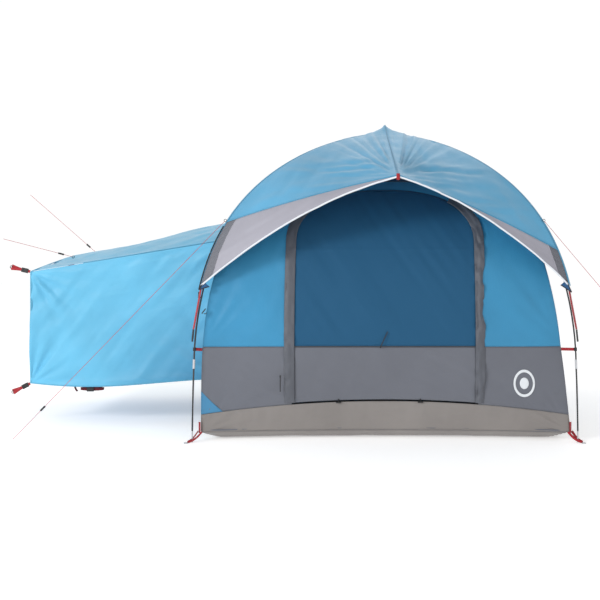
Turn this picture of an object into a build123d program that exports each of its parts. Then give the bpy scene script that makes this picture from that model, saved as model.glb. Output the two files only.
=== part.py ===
"""Dome tent with a sleeve that fits round the open tailgate of a car.

Two long sectional poles cross over the crown. The inner tent hangs inside them on clips, the fly lies over
them, and a short brow pole carries the front visor. Frame: +Z up, the front door faces -Y, and the sleeve
leaves the left wall towards -X. The origin is on the ground, under the crossing of the poles.
"""

import math
import os

from build123d import *

# ---- driving dimensions, millimetres ----

# poles
POLE_FOOT = 1246.0  # from the middle of the tent to a pole foot, along X and along Y
POLE_CROWN = 2128.0  # height of the pole axis at the crossing
POLE_LEAN = 24.0  # how far the pole leans in, on top of its bow
BOW_HEIGHT_POWER = 3.7
BOW_WIDTH_POWER = 1.5
POLE_RADIUS = 5.5
POLE_BORE = 2.6
LEG_LENGTH = 470.0
FERRULE_RADIUS = 8.2
FERRULE_CLEARANCE = 1.1
FERRULE_LENGTH = 60.0
TIP_RADIUS = 4.6
TIP_LENGTH = 38.0
SECTION_GAP = 1.0  # between two sections, inside their ferrule
CORD_RADIUS = 1.3
SECTIONS_PER_SIDE = 3
CROSSING_GAP = 1.0  # between the two poles where they cross

# inner tent
WALL_GAP = 46.0  # from the pole axis in to the inner walls
FABRIC = 1.0
SEAM = 1.5  # half the space left between two panels at a seam
RIM_BOTTOM = 60.0
RIM_CORNER = 170.0
RIM_MIDDLE = 250.0
BAND_TOP = 610.0
ROOF_START = 1720.0
FLOOR_THICKNESS = 1.2

# front doorway
DOOR_HALF = 600.0
DOOR_SPRING = 1300.0  # height where the straight sides of the doorway end
DOOR_RISE = 350.0  # from there to the top of the D
ZIP_GAP = 12.0  # width between the door and the wall
ZIP_WIDTH = 7.0
ZIP_THICKNESS = 2.4
FLAP_WIDTH = 66.0
FLAP_STAND = 4.0  # how far the storm flaps stand off the wall

# sliders
SLIDER = (9.0, 14.0, 5.0)
PULL_LENGTH = 100.0
PULL_LEAN = 48.0
WINDOW_SLIDER_X = -30.0
DOOR_SLIDER_X = -682.0
DOOR_SLIDER_Z = 420.0

# sleeve
SLEEVE_LENGTH = 2540.0  # from the middle of the tent to the open end
SLEEVE_HALF_IN = 680.0
SLEEVE_HALF_OUT = 600.0
SLEEVE_LOW_IN = 330.0
SLEEVE_LOW_OUT = 290.0
SLEEVE_HIGH_IN = 1330.0
SLEEVE_HIGH_OUT = 1090.0
SLEEVE_RIDGE_IN = 1540.0
SLEEVE_RIDGE_OUT = 1200.0
SLEEVE_SET_BACK = 120.0  # the top of the open end is cut back by this much
SLEEVE_START = 12.0  # gap between the wall and the sleeve panels
PASSAGE_HALF = 640.0
PASSAGE_TOP = 1290.0

# fly
FLY_GAP = 20.0  # from the pole axis out to the fly
FLY_CORNER = 1010.0
FLY_ARCH = 1560.0
APEX = (83.0, -1400.0, 1700.0)
RIDGE_BACK = (0.0, -60.0, 2187.0)
VISOR_LEFT = 1430.0  # height on the pole where the visor seam ends, each side
VISOR_RIGHT = 1243.0
TRIM_LIP = 22.0  # width of the trim at the apex
BROW_DROP = 16.0
BROW_RADIUS = 4.0

# webbing, clips and buckles
PEG_LEFT = (-2436.0, -1170.0, 3.0)
PEG_RIGHT = (2250.0, -1170.0, 3.0)
WEB_WIDTH = 20.0
WEB_THICKNESS = 2.0
RING_RADIUS = 16.0
RING_HOLE = 11.5
RING_THICKNESS = 4.0
RING_OUT = 46.0  # from the pole foot out to the middle of the ring, along the diagonal
CLIP_HEIGHTS = (600.0, 1450.0)
CLIP_RADIUS = 10.0
CLIP_LENGTH = 22.0
CLIP_CLEARANCE = 0.6
FLY_STRAP_LOW = 730.0
FLY_HOOK_LOW = 650.0
FLY_STRAP_OUT = 21.0
BUCKLE_WIDTH = 32.0
BUCKLE_THICKNESS = 9.0
SOCKET_LENGTH = 34.0
BUCKLE_CLEARANCE = 0.6
STRAP_END = 70.0

# guy lines
GUY_RADIUS = 1.5
RUNNER_LENGTH = 42.0
RUNNER_WIDTH = 12.0
RUNNER_THICKNESS = 6.0
RUNNER_BORE = 2.1
GUY_EYE = 10.0
GUY_EYE_HOLE = 6.5
GUY_HEIGHT = 1440.0  # on the front poles
GUY_STAND = 34.0  # from the pole axis out to the eye

LINE_END_FRONT = (-2750.0, -560.0, 1325.0)
LINE_END_BACK = (-2970.0, 520.0, 1710.0)
RUNNER_LOW = 0.86  # places along the lines
RUNNER_HIGH = 0.16
GUY_ROOF_T = 0.9
GUY_ROOF_V = 0.55
EYE_THICKNESS = 3.0

# small shapes
TIE_RADIUS = 32.0
TIE_THICKNESS = 2.0
BROW_BOW = 6.0
LANTERN_DROP = 14.0
DOOR_SHOULDER = 0.76
DOOR_ROUND = 0.72
FLOOR_FLAT = 1060.0
PASSAGE_PEAK = 110.0
ROOF_FLAT = 8.0
FLY_FLAT = 6.0
FLAP_TOP = 1560.0
FLAP_LAP = 4.0
SLIDER_STAND = 4.0
PULL_WIDTH = 6.0
PULL_THICKNESS = 2.0
CROWN_ANGLE = 0.12
VISOR_SWELL = 18.0
TRIM_ARCH = 95.0
ROOF_CURVE = 1.4
SLEEVE_FLOOR_BACK = 30.0
STRAP_SPREAD = 13.0
STRAP_WIDTH = 14.0
HOOK_WIDTH = 16.0
HOOK_THICKNESS = 4.0
HOOK_RING = 12.0
HOOK_RING_HOLE = 7.0
TAB_LENGTH = 14.0
BUCKLE_GAP = 0.5
BUCKLE_WALL = 1.8
PLUG_BASE = 12.0
STRAP_RISE_TOP = 0.24
STRAP_RISE_LOW = -0.5

# how finely curved panels are divided
REACH = 1600.0
RIM_STEPS = 8
LEVEL = 1e-3  # cubic millimetres that four corners may enclose and still make one flat face
WALL_STEPS = 6
DOOR_STEPS = 8
ROOF_STEPS = 4
FLY_STEPS = 9
HEM_STEPS = 12
VISOR_STEPS = 7
VISOR_ACROSS = 4
TRIM_STEPS = 8
TRIM_ACROSS = 4
SLEEVE_STEPS = 4
SLEEVE_ACROSS = 6
SLEEVE_RISES = 4

os.makedirs("parts", exist_ok=True)


# ---- helpers ----


def save(name, *solids):
    """Write one named piece, as one solid or as a group of separate solids."""
    shapes = []
    for solid in solids:
        shapes.extend(solid.solids())
    shape = shapes[0] if len(shapes) == 1 else Compound(shapes)
    shape.label = name
    export_step(shape, f"parts/{name}.step")


def mix(a, b, t):
    return a + (b - a) * t


def mix_points(a, b, t):
    return tuple(mix(p, q, t) for p, q in zip(a, b))


def bow(angle, out=0.0, crown=POLE_CROWN):
    """Half width and height of the pole's bow, from foot at 0 to crown at pi/2, moved out by a gap."""

    def axis(a):
        height = math.sin(a) ** (2 / BOW_HEIGHT_POWER)
        width = max(math.cos(a), 0.0) ** (2 / BOW_WIDTH_POWER)
        return (POLE_FOOT - POLE_LEAN * height) * width, crown * height

    w, z = axis(angle)
    step = 0.004
    w1, z1 = axis(max(angle - step, 0.0005))
    w2, z2 = axis(min(angle + step, math.pi / 2))
    along = math.hypot(w2 - w1, z2 - z1)
    return max(w + out * (z2 - z1) / along, 0.0), z - out * (w2 - w1) / along


def bow_at_height(z, out=0.0, crown=POLE_CROWN):
    """Half width of the bow at a height."""
    low, high = 0.0005, math.pi / 2
    for _ in range(50):
        middle = (low + high) / 2
        if bow(middle, out, crown)[1] < z:
            low = middle
        else:
            high = middle
    return bow(low, out, crown)[0]


def angle_at_height(z, out=0.0):
    low, high = 0.0005, math.pi / 2
    for _ in range(50):
        middle = (low + high) / 2
        if bow(middle, out)[1] < z:
            low = middle
        else:
            high = middle
    return low


def prism(points, plane, low, high):
    """A straight prism of a closed outline drawn on a plane, from one height over it to another."""
    outline = Face(Wire.make_polygon([plane.from_local_coords((u, v, low)) for u, v in points], close=True))
    return Solid.extrude(outline, plane.z_dir * (high - low))


FACING = Plane(origin=(0, 0, 0), x_dir=(1, 0, 0), z_dir=(0, -1, 0))  # seen from the front: X right, Z up


def front_prism(points):
    """A prism along Y of an outline given as X and Z, through the whole front half of the tent."""
    return prism(points, FACING, 0.0, 2000.0)


def vault(out, low, high, steps, thickness=FABRIC, seam=SEAM):
    """The front quarter of the four sided vault that follows the poles, between two heights."""
    first, last = angle_at_height(low, out), angle_at_height(high, out)
    heights = [bow(mix(first, last, i / steps), out)[1] for i in range(steps + 1)]
    outer = [(bow_at_height(z, out), z) for z in heights]
    inner = [(bow_at_height(z, out - thickness), z) for z in heights]
    profile = [(-w, z) for w, z in outer] + [(-w, z) for w, z in reversed(inner)]
    side = Plane(origin=(0, 0, 0), x_dir=(0, 1, 0), z_dir=(1, 0, 0))
    reach = POLE_FOOT * 1.2
    slab = prism(profile, side, -reach, reach)
    wedge = [(0, -seam * 2), (-reach, -reach - seam * 2), (reach, -reach - seam * 2)]
    return slab & prism(wedge, Plane.XY, -10.0, POLE_CROWN * 1.3)


def turn(shape, quarters):
    """Turn a front quarter about the upright axis: 1 faces +X, 2 faces +Y, 3 faces -X."""
    return shape.rotate(Axis.Z, 90.0 * quarters)


def sheet(rows, thickness=FABRIC):
    """A closed sheet of small flat faces over a grid of points, thickened on its inner side."""
    grid = [[Vector(*p) for p in row] for row in rows]
    n, m = len(grid), len(grid[0])
    back = []
    for i in range(n):
        line = []
        for j in range(m):
            along = grid[min(i + 1, n - 1)][j] - grid[max(i - 1, 0)][j]
            across = grid[i][min(j + 1, m - 1)] - grid[i][max(j - 1, 0)]
            line.append(grid[i][j] - along.cross(across).normalized() * thickness)
        back.append(line)
    faces = []

    def polygon(*corners):
        faces.append(Face(Wire.make_polygon(corners, close=True)))

    def square(a, b, c, d):
        if abs((b - a).cross(c - a).dot(d - a)) < LEVEL:
            polygon(a, b, c, d)
        else:
            polygon(a, b, c)
            polygon(a, c, d)

    for i in range(n - 1):
        for j in range(m - 1):
            square(grid[i][j], grid[i + 1][j], grid[i + 1][j + 1], grid[i][j + 1])
            square(back[i][j], back[i][j + 1], back[i + 1][j + 1], back[i + 1][j])
    for i in range(n - 1):
        for j in (0, m - 1):
            square(grid[i][j], grid[i + 1][j], back[i + 1][j], back[i][j])
    for j in range(m - 1):
        for i in (0, n - 1):
            square(grid[i][j], grid[i][j + 1], back[i][j + 1], back[i][j])
    solid = Solid(Shell(faces))
    return solid if solid.volume > 0 else Solid(solid.wrapped.Reversed())


def rod(start, end, radius):
    axis = Vector(*end) - Vector(*start)
    return Solid.make_cylinder(radius, axis.length, Plane(origin=Vector(*start), z_dir=axis))


def tube_along(points, outer, bore=0.0):
    """A round tube along one arc through three points."""
    path = Edge.make_three_point_arc(*[Vector(*p) for p in points])
    section = Plane(origin=path @ 0, z_dir=path % 0)
    ring = Face(Wire.make_circle(outer, section))
    if bore:
        ring = Face(Wire.make_circle(outer, section), [Wire.make_circle(bore, section)])
    return Solid.sweep(ring, path)


def bar(start, end, side, width, thickness):
    """A flat strap from one point to another, with its width along a side direction."""
    start, end = Vector(*start), Vector(*end)
    along = end - start
    across = Vector(*side)
    normal = along.cross(across).normalized()
    section = Plane(origin=start, x_dir=normal.cross(along), z_dir=along)
    return Solid.extrude(Face(Wire.make_rect(width, thickness, section)), along)


# ---- poles ----


class Bow:
    """One quarter of a pole: its sections are arcs through points of the bow, by length from the foot."""

    def __init__(self, x_sign, y_sign, crown):
        self.signs = (x_sign, y_sign)
        self.crown = crown
        steps = 600
        self.angles = [mix(0.0005, math.pi / 2, (i / steps) ** 1.7) for i in range(steps + 1)]
        self.lengths = [0.0]
        last = self.place(self.angles[0])
        for angle in self.angles[1:]:
            here = self.place(angle)
            self.lengths.append(self.lengths[-1] + math.dist(last, here))
            last = here
        self.length = self.lengths[-1]
        span = (self.length - LEG_LENGTH) / (SECTIONS_PER_SIDE + 0.5)
        self.ends = [LEG_LENGTH + span * i for i in range(SECTIONS_PER_SIDE + 1)]
        bounds = [0.0] + self.ends + [2 * self.length - self.ends[-1]]
        self.arcs = []
        for start, end in zip(bounds, bounds[1:]):
            points = [Vector(*self.on_bow(mix(start, end, t))) for t in (0.0, 0.5, 1.0)]
            self.arcs.append((start, end, Edge.make_three_point_arc(*points)))

    def place(self, angle):
        w, z = bow(angle, 0.0, self.crown)
        return (self.signs[0] * w, self.signs[1] * w, z)

    def on_bow(self, length):
        if length > self.length:
            x, y, z = self.on_bow(2 * self.length - length)
            return (-x, -y, z)
        for i in range(1, len(self.lengths)):
            if self.lengths[i] >= length:
                part = (length - self.lengths[i - 1]) / (self.lengths[i] - self.lengths[i - 1])
                return self.place(mix(self.angles[i - 1], self.angles[i], part))
        return self.place(self.angles[-1])

    def point(self, length):
        """A point of the pole's axis."""
        for start, end, arc in self.arcs:
            if length <= end:
                return tuple(arc @ ((length - start) / (end - start)))
        return tuple(self.arcs[-1][2] @ 1)

    def at_height(self, z):
        low, high = 0.0, self.length
        for _ in range(30):
            middle = (low + high) / 2
            if self.point(middle)[2] < z:
                low = middle
            else:
                high = middle
        return self.point(low)


HIGH_CROWN = POLE_CROWN + POLE_RADIUS + CROSSING_GAP / 2
LOW_CROWN = POLE_CROWN - POLE_RADIUS - CROSSING_GAP / 2
CORNERS = {
    "front_left": Bow(-1, -1, HIGH_CROWN),
    "front_right": Bow(1, -1, LOW_CROWN),
    "back_right": Bow(1, 1, HIGH_CROWN),
    "back_left": Bow(-1, 1, LOW_CROWN),
}


def arc_piece(quarter, start, end, outer, bore=0.0):
    """A piece of one pole section, which lies on that section's arc."""
    points = [quarter.point(mix(start, end, t)) for t in (0.0, 0.5, 1.0)]
    return tube_along(points, outer, bore)


def make_poles():
    legs, sections, ferrules, tips, cords = [], [], [], [], []
    joint = SECTION_GAP / 2
    for name, quarter in CORNERS.items():
        ends = quarter.ends
        spans = list(zip(ends, ends[1:]))
        if name.startswith("front"):
            spans.append((ends[-1], 2 * quarter.length - ends[-1]))
        legs.append(arc_piece(quarter, TIP_LENGTH + joint, ends[0] - joint, POLE_RADIUS, POLE_BORE))
        cords.append(arc_piece(quarter, TIP_LENGTH + joint, ends[0], CORD_RADIUS))
        for start, end in spans:
            sections.append(arc_piece(quarter, start + joint, end - joint, POLE_RADIUS, POLE_BORE))
            cords.append(arc_piece(quarter, start, end, CORD_RADIUS))
        for end in ends:
            low = quarter.point(end - FERRULE_LENGTH / 2)
            high = quarter.point(end + FERRULE_LENGTH / 2)
            ferrules.append(rod(low, high, FERRULE_RADIUS) - rod(low, high, POLE_RADIUS + FERRULE_CLEARANCE))
        foot = quarter.point(0.0)
        tips.append(rod((foot[0], foot[1], 0.0), quarter.point(TIP_LENGTH), TIP_RADIUS))
    save("pole_legs", *legs)
    save("pole_sections", *sections)
    save("pole_ferrules", *ferrules)
    save("pole_foot_tips", *tips)
    save("shock_cords", *cords)


def make_crown():
    """The tie over the crossing poles, and the brow pole that carries the visor."""
    tie = Solid.make_cylinder(TIE_RADIUS, TIE_THICKNESS, Plane(origin=(0, 0, HIGH_CROWN + POLE_RADIUS + 0.5)))
    save("crossing_tie", tie)
    start = (RIDGE_BACK[0], RIDGE_BACK[1], RIDGE_BACK[2] - BROW_DROP)
    end = (APEX[0], APEX[1] + BROW_DROP, APEX[2] - BROW_DROP)
    middle = mix_points(start, end, 0.5)
    arc = [start, (middle[0], middle[1], middle[2] + BROW_BOW), end]
    save("brow_pole", tube_along(arc, BROW_RADIUS, BROW_RADIUS / 2))
    lantern_place = (0, 0, POLE_CROWN - WALL_GAP - LANTERN_DROP)
    lantern = ring_at(lantern_place, (1, 0, 0), GUY_EYE, GUY_EYE_HOLE, WEB_THICKNESS)
    save("lantern_loop", lantern)


def ring_at(centre, axis, outer, hole, thickness):
    """A flat ring, centred on a point."""
    plane = Plane(origin=Vector(*centre), z_dir=Vector(*axis)).offset(-thickness / 2)
    return Solid.make_cylinder(outer, thickness, plane) - Solid.make_cylinder(hole, thickness, plane)


# ---- inner tent ----


def rim_top(x):
    """Height of the top of the bathtub rim, which rises towards the middle of each side."""
    reach = bow_at_height(RIM_CORNER, -WALL_GAP)
    return mix(RIM_MIDDLE, RIM_CORNER, min(abs(x) / reach, 1.0) ** 2)


def strip(low_edge, high_edge, left, right, steps):
    """An outline between two edges that are functions of X."""
    places = [mix(left, right, i / steps) for i in range(steps + 1)]
    return [(x, low_edge(x)) for x in places] + [(x, high_edge(x)) for x in reversed(places)]


def door_prism(grow):
    """The D shaped doorway as a prism along Y, grown by a margin all round."""
    half = DOOR_HALF + grow
    low = RIM_MIDDLE - RIM_CORNER
    top = DOOR_SPRING + DOOR_RISE + grow

    def at(x, z):
        return FACING.from_local_coords((x, z, 0.0))

    shoulder = DOOR_SPRING + (DOOR_RISE + grow) * DOOR_SHOULDER
    arch = [
        Edge.make_three_point_arc(at(half, DOOR_SPRING), at(half * DOOR_ROUND, shoulder), at(0, top)),
        Edge.make_three_point_arc(at(0, top), at(-half * DOOR_ROUND, shoulder), at(-half, DOOR_SPRING)),
    ]
    straight = [
        Edge.make_line(at(-half, DOOR_SPRING), at(-half, low)),
        Edge.make_line(at(-half, low), at(half, low)),
        Edge.make_line(at(half, low), at(half, DOOR_SPRING)),
    ]
    return Solid.extrude(Face(Wire(arch + straight)), FACING.z_dir * REACH)


def above_rim(gap):
    """The space above the rim of the front wall, as a prism."""
    return front_prism(strip(lambda x: rim_top(x) + gap, lambda x: ROOF_START, -REACH, REACH, RIM_STEPS))


def make_floor():
    flat = FLOOR_FLAT
    edge = bow_at_height(RIM_BOTTOM, -WALL_GAP) - FABRIC - SEAM
    places = (-edge, -flat, flat, edge)

    def level(x, y):
        return 0.0 if abs(x) == flat and abs(y) == flat else RIM_BOTTOM

    rows = [[(x, y, level(x, y)) for x in places] for y in places]
    save("floor_sheet", sheet(rows, FLOOR_THICKNESS))
    outline = strip(lambda x: RIM_BOTTOM, rim_top, -REACH, REACH, RIM_STEPS)
    rim = vault(-WALL_GAP, RIM_BOTTOM, RIM_MIDDLE, 1) & front_prism(outline)
    save("floor_rim", *[turn(rim, i) for i in range(4)])


def make_walls():
    band = vault(-WALL_GAP, RIM_CORNER, BAND_TOP - SEAM, 2)
    below_seam = strip(lambda x: rim_top(x) + SEAM, lambda x: BAND_TOP, -REACH, REACH, RIM_STEPS)
    band = band & front_prism(below_seam)
    wall = vault(-WALL_GAP, BAND_TOP + SEAM, ROOF_START - SEAM, WALL_STEPS)
    doorway = door_prism(ZIP_GAP)
    passage = front_prism(
        [
            (-PASSAGE_HALF, 0.0),
            (PASSAGE_HALF, 0.0),
            (PASSAGE_HALF, PASSAGE_TOP),
            (0.0, PASSAGE_TOP + PASSAGE_PEAK),
            (-PASSAGE_HALF, PASSAGE_TOP),
        ]
    )
    save("front_band", band - doorway)
    save("front_wall", wall - doorway)
    for name, quarters in (("right", 1), ("back", 2)):
        save(f"{name}_band", turn(band, quarters))
        save(f"{name}_wall", turn(wall, quarters))
    save("left_band", turn(band - passage, 3))
    save("left_wall", turn(wall - passage, 3))
    roof = vault(-WALL_GAP, ROOF_START + SEAM, POLE_CROWN - WALL_GAP - ROOF_FLAT, ROOF_STEPS)
    save("roof_mesh", *[turn(roof, i) for i in range(4)])


def make_door():
    skin = vault(-WALL_GAP, RIM_CORNER, ROOF_START, DOOR_STEPS)
    leaf = skin & door_prism(0.0) & above_rim(ZIP_GAP)
    below = front_prism([(-REACH, 0), (REACH, 0), (REACH, BAND_TOP - SEAM), (-REACH, BAND_TOP - SEAM)])
    above = front_prism(
        [(-REACH, BAND_TOP + SEAM), (REACH, BAND_TOP + SEAM), (REACH, ROOF_START), (-REACH, ROOF_START)]
    )
    save("door_lower", leaf & below)
    save("door_mesh", leaf & above)
    side = (ZIP_GAP - ZIP_WIDTH) / 2
    tape = vault(-WALL_GAP, RIM_CORNER, ROOF_START, DOOR_STEPS, ZIP_THICKNESS)
    chain = tape & (door_prism(ZIP_GAP - side) - door_prism(side)) & above_rim(ZIP_GAP)
    sewn = front_prism([(0, 0), (REACH, 0), (REACH, DOOR_SPRING), (0, DOOR_SPRING)])
    save("door_zip", chain - sewn)
    cover = vault(FLAP_STAND - WALL_GAP, RIM_CORNER, FLAP_TOP, DOOR_STEPS) & above_rim(ZIP_GAP)
    cover = cover & (door_prism(FLAP_WIDTH - FLAP_LAP) - door_prism(-FLAP_LAP))
    halves = [[(0, 0), (reach, 0), (reach, FLAP_TOP), (0, FLAP_TOP)] for reach in (-REACH, REACH)]
    flaps = [cover & front_prism(outline) for outline in halves]
    save("storm_flaps", *flaps)


def on_wall(x, z, stand):
    """A point in front of the front wall."""
    return (x, -bow_at_height(z, stand - WALL_GAP), z)


def make_sliders():
    """Zip sliders: a small body over the chain, and a cord pull that lies along the cloth."""
    length, width, height = SLIDER
    stand = SLIDER_STAND + height / 2
    for name, x, z, lean, rise in (
        ("window_slider", WINDOW_SLIDER_X, BAND_TOP, PULL_LEAN, PULL_LENGTH),
        ("door_slider", DOOR_SLIDER_X, DOOR_SLIDER_Z, 0.0, -PULL_LENGTH),
    ):
        middle = on_wall(x, z, stand)
        body = Box(length, height, width).moved(Location(middle))
        pull = bar(middle, on_wall(x + lean, z + rise, stand), (1, 0, 0), PULL_WIDTH, PULL_THICKNESS)
        save(name, body + pull)


# ---- fly ----


def make_fly():
    def hem(x):
        reach = bow_at_height(FLY_CORNER, FLY_GAP)
        return FLY_CORNER + (FLY_ARCH - FLY_CORNER) * (1 - min(abs(x) / reach, 1.0) ** 2)

    skin = vault(FLY_GAP, FLY_CORNER, POLE_CROWN + FLY_GAP - FLY_FLAT, FLY_STEPS)
    panel = skin & front_prism(strip(hem, lambda x: POLE_CROWN * 1.1, -REACH, REACH, HEM_STEPS))
    for name, quarters in (("right", 1), ("back", 2), ("left", 3)):
        save(f"fly_{name}", turn(panel, quarters))


def pole_edge(sign, low, steps):
    """Points down the fly's edge over a front pole, from near the crown to a height."""
    end = angle_at_height(low, FLY_GAP)
    start = math.pi / 2 - CROWN_ANGLE
    points = []
    for i in range(steps + 1):
        w, z = bow(mix(start, end, i / steps), FLY_GAP)
        points.append((sign * (w - 2 * SEAM), -w - 2 * SEAM, z))
    return points


def pole_span(sign, high, low, steps):
    """Points down the fly's edge over a front pole, between two heights."""
    points = []
    for i in range(steps + 1):
        z = mix(high, low, i / steps)
        w = bow_at_height(z, FLY_GAP)
        points.append((sign * (w - 2 * SEAM), -w - 2 * SEAM, z))
    return points


def make_visor():
    for name, sign, low in (("left", -1, VISOR_LEFT), ("right", 1, VISOR_RIGHT)):
        edge = pole_edge(sign, low, VISOR_STEPS)
        rows = []
        for i, outer in enumerate(edge):
            t = i / VISOR_STEPS
            ridge = mix_points(RIDGE_BACK, APEX, t)
            inner = (ridge[0] + sign * SEAM, ridge[1], ridge[2])
            row = []
            for j in range(VISOR_ACROSS + 1):
                s = j / VISOR_ACROSS
                x, y, z = mix_points(inner, outer, s)
                swell = VISOR_SWELL * t * 4 * s * (1 - s)
                row.append((x, y - swell, z + swell))
            rows.append(row)
        save(f"visor_{name}", sheet(rows, -sign * FABRIC))
        side = pole_span(sign, low - 2 * SEAM, FLY_CORNER, TRIM_ACROSS)
        rows = []
        for i in range(TRIM_STEPS + 1):
            t = i / TRIM_STEPS
            x, y, z = mix_points(side[0], (APEX[0] + sign * SEAM, APEX[1], APEX[2] - 2 * SEAM), t)
            swell = VISOR_SWELL * 4 * t * (1 - t)
            seam = (x, y - swell, z + swell)
            hem = mix_points(side[-1], (APEX[0] + sign * SEAM, APEX[1], APEX[2] - TRIM_LIP), t)
            low_point = (hem[0], hem[1], hem[2] + TRIM_ARCH * 4 * t * (1 - t))
            row = []
            for j, held in enumerate(side):
                s = j / TRIM_ACROSS
                chord = mix_points(side[0], side[-1], s)
                flat = mix_points(seam, low_point, s)
                row.append(tuple(f + (h - c) * (1 - t) for f, h, c in zip(flat, held, chord)))
            rows.append(row)
        save(f"visor_trim_{name}", sheet(rows, sign * FABRIC))


# ---- sleeve ----


def sleeve_point(t, side, rise):
    """A point of the sleeve's side panels: t runs out from the wall, rise runs up."""
    z = mix(mix(SLEEVE_LOW_IN, SLEEVE_LOW_OUT, t), mix(SLEEVE_HIGH_IN, SLEEVE_HIGH_OUT, t), rise)
    start = bow_at_height(mix(SLEEVE_LOW_IN, SLEEVE_HIGH_IN, rise), SLEEVE_START - WALL_GAP)
    return (-mix(start, SLEEVE_LENGTH, t), side * mix(SLEEVE_HALF_IN, SLEEVE_HALF_OUT, t), z)


def sleeve_roof_point(t, v):
    """A point of the sleeve's roof: v runs from the front edge at -1 to the back edge at 1."""
    half = mix(SLEEVE_HALF_IN, SLEEVE_HALF_OUT, t) - SEAM
    edge = mix(SLEEVE_HIGH_IN, SLEEVE_HIGH_OUT, t) + SEAM
    ridge = mix(SLEEVE_RIDGE_IN, SLEEVE_RIDGE_OUT, t)
    z = mix(ridge, edge, abs(v) ** ROOF_CURVE)
    start = bow_at_height(mix(SLEEVE_RIDGE_IN, SLEEVE_HIGH_IN, abs(v) ** ROOF_CURVE), SLEEVE_START - WALL_GAP)
    end = SLEEVE_LENGTH - SLEEVE_SET_BACK * (1 - abs(v) ** ROOF_CURVE)
    return (-mix(start, end, t), v * half, z)


def make_sleeve():
    along = [i / SLEEVE_STEPS for i in range(SLEEVE_STEPS + 1)]
    for name, side in (("front", -1), ("back", 1)):
        rises = [mix(0.004, 0.996, j / SLEEVE_RISES) for j in range(SLEEVE_RISES + 1)]
        rows = [[sleeve_point(t, side, rise) for rise in rises] for t in along]
        save(f"sleeve_{name}", sheet(rows, side * FABRIC))
    across = [mix(-1, 1, j / SLEEVE_ACROSS) for j in range(SLEEVE_ACROSS + 1)]
    save("sleeve_roof", sheet([[sleeve_roof_point(t, v) for v in across] for t in along], -FABRIC))
    rows = []
    for t in along:
        x, y, z = sleeve_point(t, 1, 0.0)
        rows.append([(x + SLEEVE_FLOOR_BACK * t, v * (y - 2 * SEAM), z) for v in (-1, 0, 1)])
    save("sleeve_floor", sheet(rows, FABRIC))


# ---- webbing, clips and buckles ----


def make_corners():
    straps, rings = [], []
    inner = bow_at_height(RIM_BOTTOM, -WALL_GAP) + SEAM
    for name, quarter in CORNERS.items():
        sx, sy = quarter.signs
        foot = quarter.point(0.0)
        out = RING_OUT / math.sqrt(2)
        centre = (foot[0] + sx * out, foot[1] + sy * out, RING_THICKNESS / 2)
        rings.append(ring_at(centre, (0, 0, 1), RING_RADIUS, RING_HOLE, RING_THICKNESS))
        reach = (RING_OUT - RING_HOLE - WEB_THICKNESS) / math.sqrt(2)
        for side in (-1, 1):
            dx, dy = side * STRAP_SPREAD * sy, -side * STRAP_SPREAD * sx
            start = (sx * inner + dx, sy * inner + dy, RIM_BOTTOM + WEB_THICKNESS)
            end = (foot[0] + sx * reach + dx, foot[1] + sy * reach + dy, RING_THICKNESS + 2 * WEB_THICKNESS)
            straps.append(bar(start, end, (sy, -sx, 0), STRAP_WIDTH, WEB_THICKNESS))
    save("corner_webbing", *straps)
    save("corner_rings", *rings)


def reach_wall(start, along):
    """How far a line from a pole runs before it meets the corner of the inner walls."""
    low, high = 0.0, 4 * WALL_GAP
    for _ in range(30):
        middle = (low + high) / 2
        here = start + along * middle
        if abs(here.X) > bow_at_height(here.Z, -WALL_GAP) + 2 * SEAM:
            low = middle
        else:
            high = middle
    return low


def make_clips():
    """Snap clips round the poles, and the webbing tabs that tie them to the corners of the inner tent."""
    clips, tabs = [], []
    for quarter in CORNERS.values():
        sx, sy = quarter.signs
        for z in CLIP_HEIGHTS:
            low, high = quarter.at_height(z - CLIP_LENGTH / 2), quarter.at_height(z + CLIP_LENGTH / 2)
            clips.append(rod(low, high, CLIP_RADIUS) - rod(low, high, POLE_RADIUS + CLIP_CLEARANCE))
            middle = (Vector(*low) + Vector(*high)) / 2
            upward = (Vector(*high) - Vector(*low)).normalized()
            inward = upward.cross(Vector(sy, -sx, 0)).normalized()
            if inward.X * sx > 0:
                inward = inward * -1
            near = middle + inward * (CLIP_RADIUS + 1.0)
            far = middle + inward * reach_wall(middle, inward)
            tabs.append(bar(near, far, upward, WEB_WIDTH, WEB_THICKNESS))
    save("wall_clips", *clips)
    save("clip_tabs", *tabs)


def make_fly_corners():
    straps, hooks = [], []
    for quarter in CORNERS.values():
        sx, sy = quarter.signs

        def beside(z, out):
            x, y, _ = quarter.at_height(z)
            return (x + sx * out / math.sqrt(2), y + sy * out / math.sqrt(2), z)

        top = beside(FLY_CORNER - 6 * SEAM, FLY_STRAP_OUT)
        low = beside(FLY_STRAP_LOW, FLY_STRAP_OUT)
        straps.append(bar(top, low, (sy, -sx, 0), WEB_WIDTH, WEB_THICKNESS))
        hook_top = beside(FLY_STRAP_LOW - 1.0, FLY_STRAP_OUT)
        hook_low = beside(FLY_HOOK_LOW, FLY_STRAP_OUT)
        hooks.append(bar(hook_top, hook_low, (sy, -sx, 0), HOOK_WIDTH, HOOK_THICKNESS))
    save("fly_corner_straps", *straps)
    save("fly_corner_hooks", *hooks)


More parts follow.
